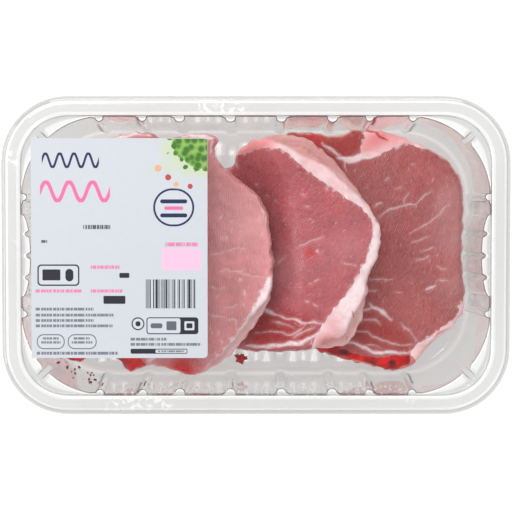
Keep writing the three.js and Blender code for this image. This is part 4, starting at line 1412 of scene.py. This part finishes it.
# Printed fields: ink, then left, top, right, bottom and corner radius in pixels of the photograph
PRINT_FIELDS = [
    ("navy", 153, 188, 194, 226, 19), ("paper", 155, 190, 192, 224, 17), ("navy", 160, 199, 187, 203, 2),
    ("pink", 164, 206, 183, 209.5, 1.7), ("navy", 160, 213, 187, 217, 2),
    ("block", 161.3, 248, 200.8, 270, 1.5),
    ("ink", 37, 264, 79, 285.5, 4), ("paper", 38.4, 265.4, 77.6, 284.1, 3), ("ink", 42, 269, 60, 280, 1),
    ("ink", 65, 268.5, 73, 281, 4),
    ("ink", 119, 272.5, 129, 277.5, 1), ("ink", 103, 295.5, 125, 303.5, 1),
    ("oval", 36, 334, 64, 349, 7), ("paper", 37, 335, 63, 348, 6), ("oval", 67, 334, 96, 349, 7),
    ("paper", 68, 335, 95, 348, 6),
    ("ink", 131, 317, 144, 330, 6.5), ("paper", 132.2, 318.2, 142.8, 328.8, 5.4),
    ("ink", 135, 321, 140, 326, 2),
    ("ink", 146, 317, 198, 334, 3), ("paper", 147, 318, 180, 333, 2), ("oval", 150, 323, 162, 328, 2),
    ("oval", 166, 321, 176, 330, 1), ("paper", 184, 321, 194, 330, 1), ("ink", 186, 323, 192, 328, 1),
    ("ink", 130, 348.6, 187, 353.6, 1.5), ("paper", 155, 349.4, 186.2, 352.8, 1),
]
# Broken lines: ink, left, top, right and bottom
PRINT_LINES = [
    ("ink", 83, 224.5, 110, 228.7), ("ink", 41, 239.6, 47, 242.4), ("pink", 165, 242, 198, 246),
    ("pink", 90, 265, 119.5, 268.5), ("pink", 35, 289, 81, 292.2), ("pink", 90, 289, 122, 292.2),
    ("oval", 35, 307.4, 93, 310.2), ("oval", 35, 313.4, 113, 316.2), ("oval", 35, 318.8, 93, 321.6),
    ("oval", 35, 324.2, 112, 327), ("oval", 42, 337, 58, 339.4), ("oval", 40, 341, 60, 343.4),
    ("oval", 73, 337, 89, 339.4), ("oval", 71, 341, 92, 343.4), ("oval", 36, 351.6, 117, 354.6),
    ("oval", 130, 337.6, 166, 340.4), ("oval", 130, 342.8, 201, 345.6), ("oval", 157, 350.2, 184, 352),
]
BAR_CODE = (145, 279, 195, 308)
# Wavy ornaments: ink, left, middle height, right, height of a wave, length of a wave and thickness
PRINT_WAVES = [
    ("navy", 42, 160, 99, 6.5, 14.25, 2.4),
    ("pink", 40, 191, 110, 9, 23.3, 3.8),
]
# Leafy corner: left, top, right and bottom of its soft field, and round spots with ink, middle and radius
LEAF_FIELD = (150, 138.5, 207, 190)
BERRIES = [
    ("peach", 158, 168, 3.4), ("berry", 168, 177, 3), ("berry", 190, 186, 2.6), ("peach", 176, 184, 2.4)]


def label_material(settings):
    """Coated paper with a generic print of plain fields, broken lines and upright bars."""
    material, tree = new_material("label_paper")
    flat = tree.place()
    inks = {
        "paper": tuple(settings.paper), "navy": tuple(settings.navy), "pink": tuple(settings.pink),
        "ink": srgb(40, 42, 50), "oval": srgb(96, 100, 112), "block": srgb(238, 190, 216),
        "green": srgb(62, 116, 40), "leaf": srgb(140, 180, 92), "wash": srgb(198, 208, 180),
        "peach": srgb(226, 168, 140), "berry": srgb(186, 74, 72),
    }
    fibre = tree.noise(flat, 260.0, detail=4)
    shade = tuple(c * 0.96 for c in settings.paper)
    colour = tree.mix(fibre, shade, tuple(settings.paper))
    spot = tree.node("ShaderNodeSeparateXYZ", Vector=flat)
    along, height = spot.outputs[0], spot.outputs[1]

    def box(left, top, right, bottom, corner=0.0):
        x0, y0 = label_spot(left, bottom)
        x1, y1 = label_spot(right, top)
        middle, half = ((x0 + x1) / 2, (y0 + y1) / 2, 0), ((x1 - x0) / 2, (y1 - y0) / 2, 1)
        return tree.group(
            print_box(), Vector=flat, Middle=middle, Half=half, Corner=corner * PRINT_STEP).outputs["Mask"]

    for ink, left, top, right, bottom, corner in PRINT_FIELDS:
        colour = tree.mix(box(left, top, right, bottom, corner), colour, inks[ink])
    for ink, left, middle, right, reach, length, thick in PRINT_WAVES:
        across, up = label_spot(left, middle)
        run = tree.times(tree.math("SUBTRACT", along, across), 2 * math.pi / (length * PRINT_STEP))
        wave = tree.times(tree.math("SINE", run), reach * PRINT_STEP)
        gap = tree.math("ABSOLUTE", tree.math("SUBTRACT", tree.math("SUBTRACT", height, up), wave))
        rise = tree.times(tree.math("COSINE", run), 2 * math.pi * reach / length)
        reach_out = tree.math("SQRT", tree.math("ADD", tree.times(rise, rise), 1.0))
        line = tree.math("LESS_THAN", gap, tree.times(reach_out, thick / 2 * PRINT_STEP))
        mask = tree.times(line, box(left, middle - reach - 3, right, middle + reach + 3))
        colour = tree.mix(mask, colour, inks[ink])
    lobes = tree.node("ShaderNodeTexVoronoi", Vector=flat, Scale=340.0, Randomness=0.9).outputs["Distance"]
    green = tree.mix(tree.span(lobes, 0.3, 0.8), inks["green"], inks["leaf"])
    fade_x, fade_y = label_spot(LEAF_FIELD[0], LEAF_FIELD[3])
    edge_x, edge_y = label_spot(LEAF_FIELD[2], LEAF_FIELD[1])
    soft = tree.times(tree.span(along, fade_x, edge_x), tree.span(height, fade_y, edge_y))
    uneven = tree.times(tree.noise(flat, 160.0, detail=3), 0.5)
    shape = tree.math("ADD", soft, uneven)
    washed = tree.times(tree.span(shape, 0.22, 0.52), box(*LEAF_FIELD))
    scalloped = tree.math("SUBTRACT", shape, tree.times(lobes, 0.3))
    leafy = tree.times(tree.span(scalloped, 0.4, 0.43), box(*LEAF_FIELD))
    colour = tree.mix(leafy, tree.mix(washed, colour, inks["wash"]), green)
    for ink, px, py, radius in BERRIES:
        colour = tree.mix(box(px - radius, py - radius, px + radius, py + radius, radius), colour, inks[ink])
    dashes = tree.noise(tree.place(stretch=(1, 1000, 1000)), 1500.0, detail=1)
    broken = tree.math("GREATER_THAN", dashes, 0.44)
    for ink, left, top, right, bottom in PRINT_LINES:
        mask = tree.times(box(left, top, right, bottom), broken)
        colour = tree.mix(tree.times(mask, 0.85), colour, inks[ink])
    stripes = tree.noise(tree.place(stretch=(1, 10000, 10000)), 1900.0, detail=0)
    bars = tree.times(box(*BAR_CODE), tree.math("GREATER_THAN", stripes, 0.5))
    colour = tree.mix(bars, colour, inks["ink"])
    tree.surface(
        Base_Color=colour, Roughness=0.42, Specular_IOR_Level=0.4, Normal=tree.bump(fibre, 0.05, 0.0002))
    return material


class MEATPACK_OT_label(bpy.types.Operator):
    """Models the paper label on the film, with two round corners"""

    bl_idname = "meatpack.label"
    bl_label = "Label"

    def execute(self, context):
        (left, bottom, low), (right, top, high) = LABEL_LOW, LABEL_HIGH
        turn = np.radians(np.linspace(0, 90, 9))
        arc = np.column_stack([np.cos(turn), np.sin(turn)]) * LABEL_CORNER
        upper = arc + [right - LABEL_CORNER, top - LABEL_CORNER]
        lower = arc[::-1] * [1, -1] + [right - LABEL_CORNER, bottom + LABEL_CORNER]
        label = prism("paper_label", np.vstack([lower, upper, [(left, top), (left, bottom)]]), low, high)
        paper = label_material(context.scene.meat_pack_label)
        finish_piece(label, paper, nodes=["label"])
        return {"FINISHED"}


def meat_finishes(settings):
    """The fat and bone materials that all chops share."""
    found = bpy.data.materials.get("pork_fat")
    if found:
        return found, bpy.data.materials["pork_bone"]
    fat = fat_material(
        "pork_fat", tuple(settings.fat), srgb(220, 134, 136), srgb(196, 134, 130), srgb(172, 40, 38))
    bone = bone_material("pork_bone", tuple(settings.bone), srgb(62, 10, 12), srgb(222, 132, 128))
    return fat, bone


class ChopOperator:
    """What the three chop operators share: the lean colour, the fibres' direction and the shape."""

    def execute(self, context):
        settings = context.scene.meat_pack_meat
        fat, bone = meat_finishes(settings)
        lean = lean_material(
            self.node + "_lean", tuple(getattr(settings, self.colour)), tuple(settings.deep_lean),
            tuple(settings.fat), math.radians(self.fibre_turn))
        make_chop(self.node, self.chop, lean, fat, bone, settings.voxel)
        return {"FINISHED"}


class MEATPACK_OT_right_chop(ChopOperator, bpy.types.Operator):
    """Models the lowest chop, which lies flat on the tray's floor"""

    bl_idname = "meatpack.right_chop"
    bl_label = "Right chop"
    node, chop, colour, fibre_turn = "right_chop", RIGHT_CHOP, "right_lean", -22


class MEATPACK_OT_middle_chop(ChopOperator, bpy.types.Operator):
    """Models the middle chop, which lies half on the right one"""

    bl_idname = "meatpack.middle_chop"
    bl_label = "Middle chop"
    node, chop, colour, fibre_turn = "middle_chop", MIDDLE_CHOP, "middle_lean", -48


class MEATPACK_OT_left_chop(ChopOperator, bpy.types.Operator):
    """Models the top chop, which lies half on the middle one and under the label"""

    bl_idname = "meatpack.left_chop"
    bl_label = "Left chop"
    node, chop, colour, fibre_turn = "left_chop", LEFT_CHOP, "left_lean", -3


class MEATPACK_OT_scrap(bpy.types.Operator):
    """Models the loose torn scrap of meat"""

    bl_idname = "meatpack.scrap"
    bl_label = "Loose scrap"

    def execute(self, context):
        settings = context.scene.meat_pack_meat
        low, high = box_mm("meat_scrap")
        middle, half = (low + high) / 2, (high - low) / 2
        deselect()
        bpy.ops.mesh.primitive_ico_sphere_add(subdivisions=5, radius=1)
        scrap = name_piece("loose_scrap")
        points = points_of(scrap) * MM
        angle = np.arctan2(points[:, 1], points[:, 0])
        waves = ((5, 0, 0.12), (3, -1, 0.09), (11, 2, 0.07), (17, 1, 0.04))
        ragged = 0.7 + sum(reach * np.cos(count * angle + start) for count, start, reach in waves)
        flat = points[:, :2] * ragged[:, None]
        lift = 0.12 * ripple(*(points[:, :2] * 10).T, 6, 41)
        points = np.column_stack([flat, points[:, 2] * (0.8 + lift)]) * half + middle
        move_points(scrap, points)
        for name, value in {"vein": 3.0, "tone": -1.0, "red": 0.55, "rim": 0.0}.items():
            store(scrap, name, np.full(len(points), value))
        red = lean_material(
            "scrap_lean", srgb(168, 16, 12), srgb(150, 10, 8), srgb(196, 50, 40), 0.6, fineness=1300.0)
        finish_piece(scrap, red, nodes=["meat_scrap"], angle=80)
        return {"FINISHED"}


def drop_mesh(name, places, material):
    """Joins flattened drops into one piece; each place is x, y, z, radius, stretch, turn and flatness."""
    deselect()
    bpy.ops.mesh.primitive_uv_sphere_add(segments=8, ring_count=5, radius=1)
    drop = name_piece(name + "_one")
    in_edit_mode(drop, bpy.ops.mesh.quads_convert_to_tris)
    shape = points_of(drop) * MM
    faces = np.array([list(face.vertices) for face in drop.data.polygons])
    bpy.data.objects.remove(drop)
    points, corners = [], []
    for i, (x, y, z, radius, stretch, turn, flat) in enumerate(places):
        moved = shape * [radius * stretch, radius, radius * flat]
        cos, sin = math.cos(turn), math.sin(turn)
        turned = np.column_stack([
            moved[:, 0] * cos - moved[:, 1] * sin, moved[:, 0] * sin + moved[:, 1] * cos, moved[:, 2]])
        points.append(turned + [x, y, z])
        corners.append(faces + i * len(shape))
    mesh = bpy.data.meshes.new(name)
    mesh.from_pydata((np.vstack(points) * MM).tolist(), [], np.vstack(corners).tolist())
    piece = bpy.data.objects.new(name, mesh)
    bpy.context.collection.objects.link(piece)
    finish_piece(piece, material, angle=80)
    return piece


def on_wall(p, sign_x, sign_y, z):
    """Place on the tray's inner wall at a station of one quarter, and the direction away from the core."""
    angle = min(max((p - BODY_CORE[1]) / BODY_CORNER, 0), math.pi / 2)
    core_x = BODY_CORE[0] if angle < math.pi / 2 else QUARTER - p
    core_y = BODY_CORE[1] if angle > 0 else p
    radius = float(wall_radius(np.array([p]), z)[0])
    return (core_x + math.cos(angle) * radius) * sign_x, (core_y + math.sin(angle) * radius) * sign_y


# Red juice: specks near one corner, smears under the shelf and runs down two ribs, in millimetres
SPECK_COUNT = 26
SMEARS = ((60, 69), (38, 45), (18, 29))
SMEAR_STEP = 0.55
LEAST_SMEAR = 0.13
RUNS = ((70.8, 30, 36), (51.3, 26, 36))
RUN_STEP = 0.8
# Condensation: number of drops, heights and radii on the near long wall and on the label's short wall
LONG_WALL_DROPS = (300, (26, 41), (0.2, 0.55))
SHORT_WALL_DROPS = (260, (8, 40), (0.15, 0.38))
DROP_SINK = 0.1
DROP_FLAT = 1.2


class MEATPACK_OT_juice(bpy.types.Operator):
    """Spreads red juice specks and clear drops of condensation on the tray's wall"""

    bl_idname = "meatpack.juice"
    bl_label = "Juice and drops"

    def execute(self, context):
        settings = context.scene.meat_pack_juice
        draw = np.random.default_rng(settings.seed)
        specks = []
        for _ in range(SPECK_COUNT):
            z = draw.uniform(7, 28)
            x, y = on_wall(draw.uniform(GROOVE_AT - 8, GROOVE_AT + 22), -1, -1, z)
            specks.append((x, y, z, draw.uniform(0.15, 0.75), draw.uniform(1, 1.9), draw.uniform(0, 3), 0.7))
        for start, end in SMEARS:
            for x_place in np.arange(start, end, SMEAR_STEP):
                z = SHELF_Z - 0.4 + draw.uniform(-0.5, 0.3)
                x, y = on_wall(QUARTER - x_place, -1, -1, z)
                radius = draw.uniform(0.05, 0.3)
                stretch = draw.uniform(1.2, 2.6)
                turn = draw.uniform(-0.3, 0.3)
                if radius > LEAST_SMEAR:
                    specks.append((x, y, z, radius, stretch, turn, 0.8))
        for x_place, low, high in RUNS:
            for z in np.arange(low, high, RUN_STEP):
                x, y = on_wall(QUARTER - x_place, -1, -1, z)
                specks.append((x, y, z, draw.uniform(0.2, 0.4), 1.0, 0.0, 1.6))
        drop_mesh("juice_specks", specks, juice_material(settings))

        drops = []
        count, heights, radii = LONG_WALL_DROPS
        for _ in range(count):
            z = draw.uniform(*heights)
            x, y = on_wall(draw.uniform(BODY_CORE[1] + BODY_ARC, QUARTER), draw.choice([-1, 1]), -1, z)
            drops.append((x, y + DROP_SINK, z, draw.uniform(*radii), 1.0, 0.0, DROP_FLAT))
        count, heights, radii = SHORT_WALL_DROPS
        for _ in range(count):
            z = draw.uniform(*heights)
            x, y = on_wall(draw.uniform(0, BODY_CORE[1]), -1, draw.choice([-1, 1]), z)
            drops.append((x + DROP_SINK, y, z, draw.uniform(*radii), 1.0, 0.0, DROP_FLAT))
        drop_mesh("condensation", drops, water_material())
        return {"FINISHED"}


FLOOR_SIZE = 8
FLOOR_GAP = 0.3
# Name, place, size and share of the power of each soft box
SOFT_BOXES = [
    ("left_soft_box", (-0.85, 0.1, 0.6), (0.9, 0.5), 1.15),
    ("back_soft_box", (0.0, 0.85, 0.6), (0.9, 0.5), 1.0),
    ("fill_soft_box", (0.6, -0.6, 0.85), (0.9, 0.6), 0.7),
    ("top_soft_box", (-0.3, 0.42, 0.95), (0.3, 0.3), 0.3),
]


class MEATPACK_OT_stage(bpy.types.Operator):
    """Sets the white floor, the soft studio light and the camera above the pack"""

    bl_idname = "meatpack.stage"
    bl_label = "Studio stage"

    def execute(self, context):
        settings = context.scene.meat_pack_stage
        deselect()
        bpy.ops.mesh.primitive_plane_add(size=FLOOR_SIZE, location=(0, 0, -FLOOR_GAP * MM))
        floor = name_piece("stage_floor")
        material, tree = new_material("stage_floor")
        mottle = tree.noise(tree.place(), 3.0)
        tree.surface(
            Base_Color=tree.mix(mottle, (0.5, 0.5, 0.5), (0.52, 0.52, 0.52)), Roughness=0.9,
            Specular_IOR_Level=0.1, Emission_Color=(1, 1, 1), Emission_Strength=0.62)
        floor.data.materials.append(material)

        world = bpy.data.worlds.new("soft_studio")
        world.use_nodes = True
        world.node_tree.nodes["Background"].inputs["Color"].default_value = (1, 1, 1, 1)
        world.node_tree.nodes["Background"].inputs["Strength"].default_value = settings.sky
        context.scene.world = world

        for name, place, size, share in SOFT_BOXES:
            bpy.ops.object.light_add(type="AREA", location=place)
            box = bpy.context.object
            box.name = name
            box.data.energy = settings.key_power * share
            box.data.shape = "RECTANGLE"
            box.data.size, box.data.size_y = size
            box.rotation_euler = (-box.location).to_track_quat("-Z", "Y").to_euler()

        drop = EYE_HEIGHT - RIM_HEIGHT
        bpy.ops.object.camera_add(
            location=(0, EYE_BACK * MM, EYE_HEIGHT * MM), rotation=(-math.atan2(EYE_BACK, drop), 0, 0))
        camera = bpy.context.object
        camera.data.sensor_width = SENSOR
        camera.data.lens = SENSOR * math.hypot(EYE_BACK, drop) / VIEW_WIDTH
        camera.data.clip_start = 0.01
        context.scene.camera = camera
        context.scene.view_settings.view_transform = "Standard"
        deselect()
        return {"FINISHED"}


OPERATORS = [
    MEATPACK_OT_tray,
    MEATPACK_OT_right_chop,
    MEATPACK_OT_middle_chop,
    MEATPACK_OT_left_chop,
    MEATPACK_OT_scrap,
    MEATPACK_OT_juice,
    MEATPACK_OT_film,
    MEATPACK_OT_label,
    MEATPACK_OT_stage,
]


class MEATPACK_PT_panel(bpy.types.Panel):
    """Lists the pack's settings and the operators that build it"""

    bl_label = "Meat Pack"
    bl_idname = "MEATPACK_PT_panel"
    bl_space_type = "VIEW_3D"
    bl_region_type = "UI"
    bl_category = "Meat Pack"

    def draw(self, context):
        for name, group in SETTINGS.items():
            box = self.layout.box()
            for prop in group.__annotations__:
                box.prop(getattr(context.scene, name), prop)
        for operator in OPERATORS:
            self.layout.operator(operator.bl_idname)


CLASSES = [*SETTINGS.values(), *OPERATORS, MEATPACK_PT_panel]


def register():
    for cls in CLASSES:
        bpy.utils.register_class(cls)
    for name, group in SETTINGS.items():
        setattr(bpy.types.Scene, name, PointerProperty(type=group))


def unregister():
    for name in SETTINGS:
        delattr(bpy.types.Scene, name)
    for cls in reversed(CLASSES):
        bpy.utils.unregister_class(cls)


def main():
    register()
    deselect()
    for operator in OPERATORS:
        group, name = operator.bl_idname.split(".")
        getattr(getattr(bpy.ops, group), name)()


if __name__ == "__main__":
    main()
